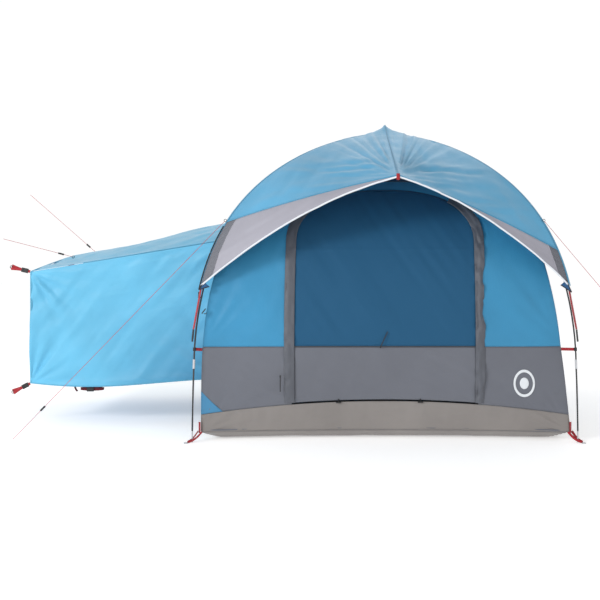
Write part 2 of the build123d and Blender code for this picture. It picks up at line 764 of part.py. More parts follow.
def make_buckles():
    """Four side release buckles at the corners of the sleeve's open end, each pulling along its own line."""
    tabs, sockets = [], []
    for name, side, rise, slope in (
        ("top_front", -1, 1, STRAP_RISE_TOP),
        ("top_back", 1, 1, STRAP_RISE_TOP),
        ("low_front", -1, 0, STRAP_RISE_LOW),
        ("low_back", 1, 0, STRAP_RISE_LOW),
    ):
        corner = Vector(*sleeve_point(1.0, side, rise))
        along = Vector(-1, 0, slope).normalized()
        frame = Plane(origin=corner + along * SEAM, x_dir=(0, 1, 0), z_dir=along)

        def block(start, length, width, thickness):
            face = Face(Wire.make_rect(thickness, width, frame.offset(start)))
            return Solid.extrude(face, along * length)

        tabs.append(block(0.0, TAB_LENGTH, WEB_WIDTH, WEB_THICKNESS))
        start = TAB_LENGTH + BUCKLE_GAP
        outside = block(start, SOCKET_LENGTH, BUCKLE_WIDTH, BUCKLE_THICKNESS)
        hollow_width, hollow_thickness = BUCKLE_WIDTH - 2 * BUCKLE_WALL, BUCKLE_THICKNESS - 2 * BUCKLE_WALL
        hollow = block(start + BUCKLE_WALL, SOCKET_LENGTH, hollow_width, hollow_thickness)
        sockets.append(outside - hollow)
        mouth = start + SOCKET_LENGTH
        tongue = block(
            start + BUCKLE_WALL + BUCKLE_CLEARANCE,
            SOCKET_LENGTH - BUCKLE_WALL,
            hollow_width - 2 * BUCKLE_CLEARANCE,
            hollow_thickness - 2 * BUCKLE_CLEARANCE,
        )
        base = block(mouth + BUCKLE_CLEARANCE, PLUG_BASE, BUCKLE_WIDTH, BUCKLE_THICKNESS)
        tail = block(mouth + PLUG_BASE, STRAP_END, WEB_WIDTH, WEB_THICKNESS)
        centre = corner + along * (SEAM + mouth + PLUG_BASE + STRAP_END + HOOK_RING_HOLE)
        hook = ring_at(tuple(centre), (0, 1, 0), HOOK_RING, HOOK_RING_HOLE, HOOK_THICKNESS)
        save(f"sleeve_plug_{name}", tongue + base + tail + hook)
    save("sleeve_tabs", *tabs)
    save("sleeve_sockets", *sockets)


# ---- guy lines ----


def make_guys():
    eyes = []
    left, right = CORNERS["front_left"], CORNERS["front_right"]
    roof_front = Vector(*sleeve_roof_point(GUY_ROOF_T, -GUY_ROOF_V)) + Vector(0, 0, GUY_EYE + 1)
    roof_back = Vector(*sleeve_roof_point(GUY_ROOF_T, GUY_ROOF_V)) + Vector(0, 0, GUY_EYE + 1)

    def beside(quarter):
        x, y, z = quarter.at_height(GUY_HEIGHT)
        sx, sy = quarter.signs
        return Vector(x + sx * GUY_STAND, y + sy * GUY_STAND, z)

    lines = (
        ("front_left", beside(left), Vector(*PEG_LEFT), RUNNER_LOW),
        ("front_right", beside(right), Vector(*PEG_RIGHT), RUNNER_LOW),
        ("sleeve_front", roof_front, Vector(*LINE_END_FRONT), RUNNER_HIGH),
        ("sleeve_back", roof_back, Vector(*LINE_END_BACK), RUNNER_HIGH),
    )
    for name, start, end, place in lines:
        along = (end - start).normalized()
        flat = along.cross(Vector(0, 0, 1)).normalized()
        eyes.append(ring_at(tuple(start), tuple(flat), GUY_EYE, GUY_EYE_HOLE, EYE_THICKNESS))
        first = start + along * (GUY_EYE + 0.5)
        save(f"guy_{name}", rod(tuple(first), tuple(end), GUY_RADIUS))
        middle = first + (end - first) * place
        plane = Plane(origin=middle - along * RUNNER_LENGTH / 2, x_dir=flat, z_dir=along)
        outline = Face(Wire.make_rect(RUNNER_THICKNESS, RUNNER_WIDTH, plane))
        body = Solid.extrude(outline, along * RUNNER_LENGTH)
        bore = Solid.make_cylinder(RUNNER_BORE, RUNNER_LENGTH, plane)
        save(f"runner_{name}", body - bore)
        print(name, "line", round((end - first).length, 1), "along", [round(c, 5) for c in along])
    save("guy_loops", *eyes)


make_poles()
make_crown()
make_floor()
make_walls()
make_door()
make_sliders()
make_fly()
make_visor()
make_sleeve()
make_corners()
make_clips()
make_fly_corners()
make_buckles()
make_guys()
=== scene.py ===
"""Looks of a dome tent with a tailgate sleeve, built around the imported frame. Metres, +Z up, door towards -Y."""

import math

import bpy
import numpy as np
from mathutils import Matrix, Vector


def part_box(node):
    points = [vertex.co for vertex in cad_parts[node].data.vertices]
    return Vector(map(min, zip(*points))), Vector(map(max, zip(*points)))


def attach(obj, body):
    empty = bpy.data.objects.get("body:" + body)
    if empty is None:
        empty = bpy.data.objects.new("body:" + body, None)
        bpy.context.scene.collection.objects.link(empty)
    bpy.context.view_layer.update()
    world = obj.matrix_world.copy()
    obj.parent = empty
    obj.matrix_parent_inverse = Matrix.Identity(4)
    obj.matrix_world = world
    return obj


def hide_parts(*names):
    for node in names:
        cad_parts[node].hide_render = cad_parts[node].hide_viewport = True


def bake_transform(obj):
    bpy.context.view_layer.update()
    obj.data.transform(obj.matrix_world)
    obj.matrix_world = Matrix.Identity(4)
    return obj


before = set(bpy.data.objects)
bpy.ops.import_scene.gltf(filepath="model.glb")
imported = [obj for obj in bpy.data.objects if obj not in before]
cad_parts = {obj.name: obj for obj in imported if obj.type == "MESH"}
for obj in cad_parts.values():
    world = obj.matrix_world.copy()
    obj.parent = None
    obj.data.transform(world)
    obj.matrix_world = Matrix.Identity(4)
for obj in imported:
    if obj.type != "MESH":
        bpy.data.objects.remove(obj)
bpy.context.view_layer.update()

# ---- sizes of the frame, in metres ----

POLE_FOOT = 1.246
POLE_CROWN = 2.128
POLE_LEAN = 0.024
BOW_HEIGHT_POWER = 3.7
BOW_WIDTH_POWER = 1.5
WALL_GAP = 0.046
FLY_GAP = 0.020
RIM_BOTTOM = 0.060
RIM_CORNER = 0.170
RIM_MIDDLE = 0.250
BAND_TOP = 0.610
ROOF_START = 1.720
DOOR_HALF = 0.600
DOOR_SPRING = 1.300
DOOR_RISE = 0.350
ZIP_GAP = 0.012
APEX = np.array([0.083, -1.400, 1.712])
RIDGE_BACK = np.array([0.0, -0.060, 2.187])
FLY_CORNER = 1.010
FLY_ARCH = 1.560
VISOR_LEFT = 1.430
VISOR_RIGHT = 1.243
TRIM_LIP = 0.008
TRIM_ARCH = 0.095
VISOR_SWELL = 0.018
SLEEVE_LENGTH = 2.540
SLEEVE_HALF_IN = 0.680
SLEEVE_HALF_OUT = 0.600
SLEEVE_LOW_IN = 0.330
SLEEVE_LOW_OUT = 0.290
SLEEVE_HIGH_IN = 1.330
SLEEVE_HIGH_OUT = 1.090
SLEEVE_RIDGE_IN = 1.540
SLEEVE_RIDGE_OUT = 1.200
SLEEVE_SET_BACK = 0.120
SLEEVE_START = 0.012
PASSAGE_HALF = 0.640
PASSAGE_TOP = 1.290
PASSAGE_PEAK = 0.110
GUY_RADIUS = 0.0015
CLOTH = 0.0012
SEAM = 0.0015

# ---- camera, light and floor ----

CAMERA_PLACE = (0.0, -7.2, 1.223)
CAMERA_LENS = 55.3
CAMERA_SHIFT = (-0.1417, -0.0783)


def make_camera():
    data = bpy.data.cameras.new("camera")
    data.lens = CAMERA_LENS
    data.sensor_width = 36.0
    data.shift_x, data.shift_y = CAMERA_SHIFT
    camera = bpy.data.objects.new("camera", data)
    camera.location = CAMERA_PLACE
    camera.rotation_euler = (math.pi / 2, 0.0, 0.0)
    bpy.context.scene.collection.objects.link(camera)
    bpy.context.scene.camera = camera


def area_light(name, place, target, size, power, colour=(1.0, 1.0, 1.0)):
    data = bpy.data.lights.new(name, "AREA")
    data.energy = power
    data.size = size
    data.color = colour
    light = bpy.data.objects.new(name, data)
    light.location = place
    light.rotation_euler = (Vector(target) - Vector(place)).to_track_quat("-Z", "Y").to_euler()
    bpy.context.scene.collection.objects.link(light)


def make_studio():
    world = bpy.data.worlds.new("studio")
    world.use_nodes = True
    tree = world.node_tree
    place = tree.nodes.new("ShaderNodeTexCoord")
    split = tree.nodes.new("ShaderNodeSeparateXYZ")
    fall = tree.nodes.new("ShaderNodeMapRange")
    for number, value in ((1, 0.30), (2, 0.85), (3, 1.02), (4, 0.50)):
        fall.inputs[number].default_value = value
    tree.links.new(place.outputs["Generated"], split.inputs[0])
    tree.links.new(split.outputs[2], fall.inputs[0])
    tree.links.new(fall.outputs[0], tree.nodes["Background"].inputs[1])
    tree.nodes["Background"].inputs[0].default_value = (1.0, 1.0, 1.0, 1.0)
    bpy.context.scene.world = world
    bpy.context.scene.view_settings.view_transform = "Standard"
    area_light("key", (-5.5, -5.5, 3.4), (0.0, 0.0, 1.0), 1.6, 210.0)
    area_light("back", (1.0, 6.0, 5.0), (0.0, 0.0, 1.2), 4.0, 60.0)
    mesh = bpy.data.meshes.new("floor")
    far = 30.0
    mesh.from_pydata([(-far, -far, 0), (far, -far, 0), (far, far, 0), (-far, far, 0)], [], [(0, 1, 2, 3)])
    floor = bpy.data.objects.new("floor", mesh)
    bpy.context.scene.collection.objects.link(floor)
    paint = Paint("studio_floor")
    paint.finish(base=(0.97, 0.97, 0.97), roughness=0.9)
    paint.shader.inputs["Emission Color"].default_value = (1.0, 1.0, 1.0, 1.0)
    paint.shader.inputs["Emission Strength"].default_value = 0.34
    mesh.materials.append(paint.material)


# ---- materials ----


class Value:
    """A number that varies over a surface: arithmetic on it adds Math nodes."""

    def __init__(self, paint, socket):
        self.paint = paint
        self.socket = socket

    def _math(self, operation, *values):
        node = self.paint.node("ShaderNodeMath", {"operation": operation}, dict(enumerate(values)))
        return Value(self.paint, node.outputs[0])

    def __add__(self, other):
        return self._math("ADD", self, other)

    __radd__ = __add__

    def __mul__(self, other):
        return self._math("MULTIPLY", self, other)

    __rmul__ = __mul__

    def __sub__(self, other):
        return self._math("SUBTRACT", self, other)

    def __rsub__(self, other):
        return self._math("SUBTRACT", other, self)

    def __pow__(self, other):
        return self._math("POWER", self, other)

    def __abs__(self):
        return self._math("ABSOLUTE", self)

    def above(self, edge):
        return self._math("GREATER_THAN", self, edge)

    def most(self, other):
        return self._math("MAXIMUM", self, other)


class Paint:
    """One material and the nodes that it is made of."""

    def __init__(self, name):
        self.material = bpy.data.materials.new(name)
        self.material.use_nodes = True
        self.tree = self.material.node_tree
        self.shader = self.tree.nodes["Principled BSDF"]

    def put(self, socket, value):
        if isinstance(value, Value):
            self.tree.links.new(value.socket, socket)
        elif hasattr(value, "is_output"):
            self.tree.links.new(value, socket)
        elif isinstance(value, tuple) and len(value) == 3 and len(socket.default_value) == 4:
            socket.default_value = (*value, 1.0)
        else:
            socket.default_value = value

    def node(self, kind, settings=None, values=None):
        made = self.tree.nodes.new(kind)
        for key, setting in (settings or {}).items():
            setattr(made, key, setting)
        for key, value in (values or {}).items():
            self.put(made.inputs[key], value)
        return made

    def place(self, scale=(1.0, 1.0, 1.0), source="Object", turn=(0.0, 0.0, 0.0)):
        """Coordinates in metres, or in a cloth's own flat metres with source UV, stretched by a scale."""
        coordinates = self.node("ShaderNodeTexCoord").outputs[source]
        mapping = self.node("ShaderNodeMapping", None, {"Vector": coordinates, "Scale": scale, "Rotation": turn})
        return mapping.outputs[0]

    def noise(self, scale, detail=3.0, rough=0.5, place=None):
        values = {"Scale": scale, "Detail": detail, "Roughness": rough, "Vector": place or self.place()}
        return Value(self, self.node("ShaderNodeTexNoise", None, values).outputs[0])

    def wave(self, scale, direction, place, distortion=0.0):
        settings = {"wave_type": "BANDS", "bands_direction": direction, "wave_profile": "SIN"}
        values = {"Scale": scale, "Distortion": distortion, "Vector": place}
        return Value(self, self.node("ShaderNodeTexWave", settings, values).outputs[1])

    def spread(self, value, low, high, to_low=0.0, to_high=1.0):
        values = {0: value, 1: low, 2: high, 3: to_low, 4: to_high}
        return Value(self, self.node("ShaderNodeMapRange", {"clamp": True}, values).outputs[0])

    def blend(self, factor, first, second):
        made = self.node("ShaderNodeMix", {"data_type": "RGBA"}, {0: factor, 6: first, 7: second})
        return made.outputs[2]

    def bump(self, height, distance, strength=1.0, normal=None):
        values = {"Height": height, "Distance": distance, "Strength": strength}
        if normal:
            values["Normal"] = normal
        return self.node("ShaderNodeBump", None, values).outputs[0]

    def finish(self, base, roughness, normal=None, metallic=0.0, sheen=0.0, coat=0.0, alpha=None, specular=0.5):
        inputs = self.shader.inputs
        self.put(inputs["Base Color"], base)
        self.put(inputs["Roughness"], roughness)
        inputs["Metallic"].default_value = metallic
        inputs["Sheen Weight"].default_value = sheen
        inputs["Coat Weight"].default_value = coat
        inputs["Specular IOR Level"].default_value = specular
        if normal:
            self.put(inputs["Normal"], normal)
        if alpha is not None:
            self.put(inputs["Alpha"], alpha)
        return self.material


def linear(*channels):
    """A colour given as 0 to 255 screen values."""
    return tuple(c / 255 / 12.92 if c <= 10 else ((c / 255 + 0.055) / 1.055) ** 2.4 for c in channels)


def shade(colour, factor):
    return tuple(min(c * factor, 1.0) for c in colour)


THREAD = 0.0009  # pitch of the plain weave
RIPSTOP = 0.006  # pitch of the heavier threads
NETTING = 0.0016  # pitch of the insect netting


def polyester(name, colour, roughness=0.52, ripstop=True, crumple=0.0022, sheen=0.25, mottle=0.10, deep=None):
    """Coated polyester: fine plain weave, ripstop threads, soft creases, slightly uneven colour, and, when deep is
    given, painted shade low down near the tent.
    """
    paint = Paint(name)
    flat = paint.place(source="UV")
    weave = paint.wave(math.pi / THREAD / 10, "X", flat) * paint.wave(math.pi / THREAD / 10, "Y", flat)
    height = weave * 0.00006
    if ripstop:
        lines = (paint.wave(math.pi / RIPSTOP / 10, "X", flat) ** 12.0).most(
            paint.wave(math.pi / RIPSTOP / 10, "Y", flat) ** 12.0
        )
        height = height + lines * 0.00010
    crease = paint.noise(5.0, 4.0, 0.55, paint.place((1.0, 1.0, 0.55), turn=(0.3, 0.5, 0.2)))
    fine = paint.noise(26.0, 3.0, 0.6)
    height = height + abs(crease - 0.5) * crumple + fine * (crumple * 0.16)
    patch = paint.noise(1.7, 3.0, 0.6)
    tone = paint.spread(patch, 0.3, 0.7)
    base = paint.blend(tone, shade(colour, 1 - mottle), shade(colour, 1 + mottle))
    # painted shade: when deep is given, the colour turns towards deep low down (z 0.95 to 0.30 m) and towards the
    # tent (x -2.05 to -1.25 m)
    if deep:
        split = paint.node("ShaderNodeSeparateXYZ", None, {0: paint.place()})
        inner = paint.spread(Value(paint, split.outputs[0]), -2.05, -1.25)
        low = paint.spread(Value(paint, split.outputs[2]), 0.95, 0.30)
        base = paint.blend(inner * low * 0.9, base, deep)
    rough = paint.spread(fine, 0.2, 0.8, roughness - 0.06, roughness + 0.06)
    normal = paint.bump(height, 1.0, 0.9)
    return paint.finish(base, rough, normal, sheen=sheen, specular=0.4)


def insect_mesh(name, colour, dark):
    """Very fine netting, seen as a dark veil with a slight grid: the colour between the threads is painted shade
    of what lies behind the holes.
    """
    paint = Paint(name)
    flat = paint.place(source="UV")
    columns = paint.wave(math.pi / NETTING / 10, "X", flat) ** 4.0
    rows = paint.wave(math.pi / NETTING / 10, "Y", flat) ** 4.0
    grid = columns.most(rows)
    # painted shade: the holes between the threads take the dark colour, standing for what lies behind them
    base = paint.blend(grid, dark, colour)
    normal = paint.bump(grid * 0.0001 + paint.noise(6.0, 3.0) * 0.002, 1.0, 0.7)
    return paint.finish(base, 0.7, normal, sheen=0.1, specular=0.25)


def webbing(name, colour):
    """Narrow woven strap with ribs across."""
    paint = Paint(name)
    flat = paint.place(source="UV")
    ribs = paint.wave(math.pi / 0.0022 / 10, "Y", flat)
    rows = paint.wave(math.pi / 0.0014 / 10, "X", flat)
    base = paint.blend(ribs * rows, shade(colour, 0.72), shade(colour, 1.12))
    normal = paint.bump(ribs * 0.0003 + rows * 0.0001, 1.0, 0.9)
    return paint.finish(base, 0.68, normal, sheen=0.3, specular=0.3)


def plastic(name, colour, roughness=0.42):
    """Moulded plastic with a faint spark texture."""
    paint = Paint(name)
    grain = paint.noise(900.0, 2.0)
    broad = paint.noise(40.0, 2.0)
    rough = paint.spread(broad, 0.3, 0.7, roughness - 0.06, roughness + 0.08)
    base = paint.blend(broad, shade(colour, 0.85), shade(colour, 1.2))
    return paint.finish(base, rough, paint.bump(grain * 0.00008, 1.0, 0.6))


def metal(name, colour, roughness=0.3):
    """Bright drawn metal with fine scuffs."""
    paint = Paint(name)
    scuff = paint.noise(220.0, 4.0, 0.7, paint.place((1.0, 1.0, 0.08)))
    rough = paint.spread(scuff, 0.3, 0.7, roughness - 0.08, roughness + 0.14)
    base = paint.blend(scuff, shade(colour, 0.8), colour)
    return paint.finish(base, rough, paint.bump(scuff * 0.00005, 1.0, 0.5), metallic=1.0)


def fibreglass(name):
    """Black pole: gloss resin over faint spiral fibres."""
    paint = Paint(name)
    fibres = paint.noise(160.0, 3.0, 0.6, paint.place((1.0, 1.0, 0.15)))
    base = paint.blend(fibres, linear(18, 18, 20), linear(44, 45, 48))
    rough = paint.spread(fibres, 0.3, 0.7, 0.26, 0.42)
    return paint.finish(base, rough, paint.bump(fibres * 0.00006, 1.0, 0.4), coat=0.4)


def braid(name, first, second):
    """Two colour braided cord."""
    paint = Paint(name)
    spots = paint.noise(260.0, 2.0, 0.5)
    base = paint.blend(paint.spread(spots, 0.56, 0.64), first, second)
    return paint.finish(base, 0.7, paint.bump(spots * 0.0004, 1.0, 0.7), sheen=0.2)


FLY_BLUE = linear(82, 159, 198)
INNER_BLUE = linear(47, 132, 174)
SLEEVE_BLUE = linear(94, 175, 210)
BAND_GREY = linear(100, 103, 112)
RIM_TAUPE = linear(131, 126, 123)
TRIM_GREY = linear(154, 153, 164)
# door and roof netting: its own navy darkened by painted shade of the unlit inside seen through it
NET_SHADED_BLUE = linear(28, 86, 123)


def make_materials():
    made = {
        "fly": polyester("fly_blue", FLY_BLUE, 0.48, crumple=0.0030),
        "inner": polyester("inner_blue", INNER_BLUE, 0.52, crumple=0.0024),
        # the sleeve's deep colour is painted shade on its low end next to the tent
        "sleeve": polyester("sleeve_blue", SLEEVE_BLUE, 0.48, crumple=0.0030, deep=linear(44, 122, 164)),
        "band": polyester("band_grey", BAND_GREY, 0.6, crumple=0.0018, mottle=0.06),
        "rim": polyester("rim_taupe", RIM_TAUPE, 0.6, ripstop=False, crumple=0.0030, mottle=0.08),
        "trim": polyester("trim_grey", TRIM_GREY, 0.5, crumple=0.0026, mottle=0.05),
        # the second colour of each netting is painted shade seen through its holes
        "mesh_band": insect_mesh("mesh_grey", linear(128, 130, 138), linear(88, 90, 98)),
        "net": insect_mesh("door_net", NET_SHADED_BLUE, shade(NET_SHADED_BLUE, 0.8)),
        "flap": polyester("flap_grey", linear(84, 87, 95), 0.5, crumple=0.0034),
        "hem": polyester("hem_white", linear(222, 226, 232), 0.6, ripstop=False, crumple=0.0008, mottle=0.04),
        "binding": polyester("binding_black", linear(30, 32, 38), 0.7, ripstop=False, crumple=0.0008),
        "red": webbing("webbing_red", linear(176, 34, 44)),
        "black_web": webbing("webbing_black", linear(32, 32, 36)),
        "black": plastic("buckle_black", linear(26, 26, 28)),
        "zip": plastic("zip_black", linear(30, 30, 33), 0.36),
        "zip_blue": plastic("zip_dark_blue", linear(22, 52, 80), 0.4),
        "pole": fibreglass("pole_black"),
        "silver": metal("ferrule_silver", linear(206, 208, 212), 0.28),
        "steel": metal("ring_steel", linear(198, 198, 200), 0.24),
        "cord": braid("guy_braid", linear(186, 30, 42), linear(120, 120, 124)),
        "seam": polyester("seam_blue", shade(FLY_BLUE, 0.80), 0.6, ripstop=False, crumple=0.0006, mottle=0.04),
        "sleeve_seam": polyester("sleeve_seam", shade(SLEEVE_BLUE, 0.82), 0.6, ripstop=False, crumple=0.0006),
        "sleeve_floor": polyester("sleeve_floor", linear(60, 120, 158), 0.6, crumple=0.0030),
        "dark_red": webbing("webbing_dark_red", linear(110, 24, 34)),
        # painted shade: a dark navy that stands for the blue fly's shaded corner at the front poles
        "fly_shade_navy": polyester("painted_fly_shade", linear(24, 78, 122), 0.55, crumple=0.0010),
        "thread": polyester("bar_tack", linear(150, 26, 36), 0.7, ripstop=False, crumple=0.0002),
        "elastic": braid("elastic_white", linear(220, 220, 216), linear(120, 120, 120)),
        "badge": polyester("badge_white", linear(220, 224, 228), 0.5, ripstop=False, crumple=0.0004, mottle=0.02),
        "patch": polyester("patch_blue", linear(62, 128, 168), 0.5, crumple=0.0012, mottle=0.04),
    }
    return made


# ---- surfaces ----

TABLE_STEPS = 4000
_tables = {}


def bow_table(out):
    """Half width and height all along the poles' bow, moved out by a gap."""
    if out not in _tables:
        a = np.linspace(0.0005, math.pi / 2, TABLE_STEPS)
        height = np.sin(a) ** (2 / BOW_HEIGHT_POWER)
        width = np.clip(np.cos(a), 0.0, None) ** (2 / BOW_WIDTH_POWER)
        w, z = (POLE_FOOT - POLE_LEAN * height) * width, POLE_CROWN * height
        dw, dz = np.gradient(w), np.gradient(z)
        along = np.hypot(dw, dz)
        w2, z2 = w + out * dz / along, z - out * dw / along
        keep = w2 >= 0
        order = np.argsort(z2[keep])
        _tables[out] = (z2[keep][order], w2[keep][order])
    return _tables[out]


def half(z, out):
    zs, ws = bow_table(round(out, 5))
    return np.interp(z, zs, ws)


def hashed(i, j, seed):
    """A repeatable number from 0 to 1 for each lattice point."""
    v = np.sin(i * 127.1 + j * 311.7 + seed * 74.7) * 43758.5453
    return v - np.floor(v)


def lumps(x, y, seed):
    """Smooth value noise from -1 to 1."""
    i, j = np.floor(x), np.floor(y)
    u, v = x - i, y - j
    u, v = u * u * (3 - 2 * u), v * v * (3 - 2 * v)
    low = hashed(i, j, seed) * (1 - u) + hashed(i + 1, j, seed) * u
    high = hashed(i, j + 1, seed) * (1 - u) + hashed(i + 1, j + 1, seed) * u
    return 2 * (low * (1 - v) + high * v) - 1


def folds(x, y, angle, width, length, seed, sharp=1.0):
    """Long narrow folds that run at an angle in degrees, with crests sharper than their troughs."""
    c, s = math.cos(math.radians(angle)), math.sin(math.radians(angle))
    along, across = (x * c + y * s) / length, (-x * s + y * c) / width
    raw = lumps(along, across, seed) * 0.65 + lumps(along * 1.9 + 7, across * 2.1, seed + 3) * 0.35
    return np.sign(raw) * np.abs(raw) ** sharp


def rays(x, y, centre, count, reach, seed):
    """Tension folds that fan out from a point and fade with distance."""
    dx, dy = x - centre[0], y - centre[1]
    r = np.hypot(dx, dy)
    angle = np.arctan2(dy, dx)
    crest = lumps(angle * count / math.pi, r / (reach * 1.4), seed)
    return crest * np.exp(-r / reach) * np.clip(r / (reach * 0.22), 0, 1)


def edge_fade(n, m, rows=(1, 1), columns=(1, 1), width=0.12):
    """1 inside a grid, falling to 0 at the chosen edges."""
    u = np.linspace(0, 1, n)[:, None]
    v = np.linspace(0, 1, m)[None, :]
    fade = np.ones((n, m))
    for on, distance in ((rows[0], u), (rows[1], 1 - u), (columns[0], v), (columns[1], 1 - v)):
        if on:
            t = np.clip(distance / width, 0, 1)
            fade = fade * (t * t * (3 - 2 * t))
    return fade


def normals(points, away):
    """Unit normals of a grid of points, on the side away from a point."""
    n = np.cross(np.gradient(points, axis=0), np.gradient(points, axis=1))
    n /= np.maximum(np.linalg.norm(n, axis=2, keepdims=True), 1e-9)
    facing = np.sum(n * (points - np.array(away)), axis=2)
    return n if facing.mean() > 0 else -n


def grid_mesh(name, points, material, thickness=CLOTH, flip=False):
    n, m = points.shape[:2]
    mesh = bpy.data.meshes.new(name)
    index = np.arange(n * m).reshape(n, m)
    corners = [index[:-1, :-1], index[1:, :-1], index[1:, 1:], index[:-1, 1:]]
    if flip:
        corners = corners[::-1]
    faces = np.stack([c.ravel() for c in corners], axis=1)
    mesh.from_pydata(points.reshape(-1, 3).tolist(), [], faces.tolist())
    flat_u = np.concatenate([[0], np.cumsum(np.linalg.norm(np.diff(points[:, m // 2], axis=0), axis=1))])
    flat_v = np.concatenate([[0], np.cumsum(np.linalg.norm(np.diff(points[n // 2], axis=0), axis=1))])
    uv = np.stack([np.repeat(flat_v[None, :], n, 0), np.repeat(flat_u[:, None], m, 1)], axis=2).reshape(-1, 2)
    layer = mesh.uv_layers.new(name="flat")
    loops = np.empty(len(mesh.loops), dtype=np.int32)
    mesh.loops.foreach_get("vertex_index", loops)
    layer.data.foreach_set("uv", uv[loops].ravel())
    mesh.polygons.foreach_set("use_smooth", [True] * len(mesh.polygons))
    mesh.materials.append(material)
    made = bpy.data.objects.new(name, mesh)
    bpy.context.scene.collection.objects.link(made)
    if thickness:
        solid = made.modifiers.new("thickness", "SOLIDIFY")
        solid.thickness = thickness
        solid.offset = 0.0
    return made


MIDDLE = (0.0, 0.0, 0.8)  # a point inside the tent, which every wall faces away from


def area_of(points):
    a = np.cross(points[1:, :-1] - points[:-1, :-1], points[:-1, 1:] - points[:-1, :-1])
    b = np.cross(points[1:, :-1] - points[1:, 1:], points[:-1, 1:] - points[1:, 1:])
    return float((np.linalg.norm(a, axis=2) + np.linalg.norm(b, axis=2)).sum() / 2)


def cloth(name, points, material, push=None, away=MIDDLE, body="tent", nodes=(),
          thickness=CLOTH):
    """A sewn panel: its smooth shape is pushed in and out by folds."""
    n = normals(points, away)
    area = area_of(points)
    width = float(np.linalg.norm(np.diff(points, axis=1), axis=2).sum(axis=1).max())
    length = float(np.linalg.norm(np.diff(points, axis=0), axis=2).sum(axis=0).max())
    shaped = points if push is None else points + n * push[..., None]
    raw = np.cross(np.gradient(points, axis=0), np.gradient(points, axis=1))
    flip = float(np.sum(raw * n)) < 0
    made = grid_mesh(name, shaped, material, thickness, flip)
    if body == "door":
        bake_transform(made)
    else:
        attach(made, body)
    if nodes:
        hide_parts(*nodes)
    if area < 0.4 * width * length:
        width = area / (0.5 * length)
    width, length = round(width, 4), round(length, 4)
    return made


def turned(points, quarters):
    """Turn points about the upright axis by quarter turns: 1 faces +X, 2 faces +Y, 3 faces -X."""
    c, s = round(math.cos(quarters * math.pi / 2)), round(math.sin(quarters * math.pi / 2))
    x, y, z = points[..., 0], points[..., 1], points[..., 2]
    return np.stack([x * c - y * s, x * s + y * c, z], axis=-1)


def on_side(x, z, out):
    """Points of the front vault at places X and heights Z."""
    x, z = np.broadcast_arrays(x, z)
    return np.stack([x, -half(z, out), z], axis=-1)


def rim_top(x):
    reach = half(RIM_CORNER, -WALL_GAP)
    return RIM_MIDDLE + (RIM_CORNER - RIM_MIDDLE) * np.clip(np.abs(x) / reach, 0, 1) ** 2


# ---- guy lines ----


def line_route(name):
    """A taut line's centre from its eye to its end, taken from the frame."""
    low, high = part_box(f"guy_{name}")
    low, high = np.array(low), np.array(high)
    front = name.startswith("front")
    right = name == "front_right"
    back = name == "sleeve_back"
    start = np.array([low[0] if right else high[0], low[1] if back else high[1], high[2] if front else low[2]])
    end = np.array([high[0] if right else low[0], high[1] if back else low[1], low[2] if front else high[2]])
    along = (end - start) / np.linalg.norm(end - start)
    inset = GUY_RADIUS * np.sqrt(np.clip(1 - along**2, 0, 1)) * np.sign(end - start)
    return start + inset, end - inset


def make_guy(name):
    start, end = line_route(name)
    points = [start + (end - start) * t for t in (0.0, 0.25, 0.5, 0.75, 1.0)]
    curve = bpy.data.curves.new(f"line_{name}", "CURVE")
    curve.dimensions = "3D"
    curve.bevel_depth = GUY_RADIUS
    curve.bevel_resolution = 3
    spline = curve.splines.new("NURBS")
    spline.points.add(len(points) - 1)
    for point, place in zip(spline.points, points):
        point.co = (*place, 1.0)
    spline.order_u = 3
    spline.use_endpoint_u = True
    curve.materials.append(paints["cord"])
    line = bpy.data.objects.new(f"line_{name}", curve)
    bpy.context.scene.collection.objects.link(line)
    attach(line, "tent")
    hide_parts(f"guy_{name}")


# ---- panels ----


def solve_edge(edge, share, out, rounds=25):
    """Height of an edge curve z = edge(x) where it crosses a line of constant share of the half width."""
    z = edge(np.zeros_like(share)) if callable(edge) else np.full_like(share, edge)
    if not callable(edge):
        return z
    for _ in range(rounds):
        z = 0.5 * z + 0.5 * edge(share * half(z, out))
    return z


BOW_IN = 0.075  # how far the middle of each side's foot stands in from the line between the corners
BOW_IN_TOP = 0.80


def bow_in(x, z, out=-WALL_GAP):
    reach = half(z, out)
    fade = np.clip(1 - (z - RIM_BOTTOM) / BOW_IN_TOP, 0, 1)
    return BOW_IN * np.clip(1 - (x / reach) ** 2, 0, 1) * fade * fade * (3 - 2 * fade) ** 0.5


INSET_HEIGHTS = (0.06, 0.30, 0.60, 1.00, 1.45, 1.71)
INSETS = (-0.006, 0.010, 0.028, 0.036, 0.024, 0.0)
CORNER_PULL = (-0.15, 1.15, 1.0, 0.7)  # front left, front right, back right, back left


def corner_inset(z, corner):
    """How far a corner seam of the walls stands in from the vault: the clips hold it on short tabs."""
    return CORNER_PULL[corner % 4] * np.interp(z, INSET_HEIGHTS, INSETS)


def wall_points(x, z, out=-WALL_GAP, quarters=0):
    """Points of an inner wall, before its quarter turns: bowed in along its foot and at its corner seams."""
    x, z = np.broadcast_arrays(np.asarray(x, float), np.asarray(z, float))
    near = np.clip((np.abs(x) / half(z, -WALL_GAP) - 0.62) / 0.38, 0, 1) ** 2
    inset = np.where(x < 0, corner_inset(z, quarters), corner_inset(z, quarters + 1)) * near
    return np.stack([x - np.sign(x) * inset, -half(z, out) + bow_in(x, z) + inset, z], axis=-1)


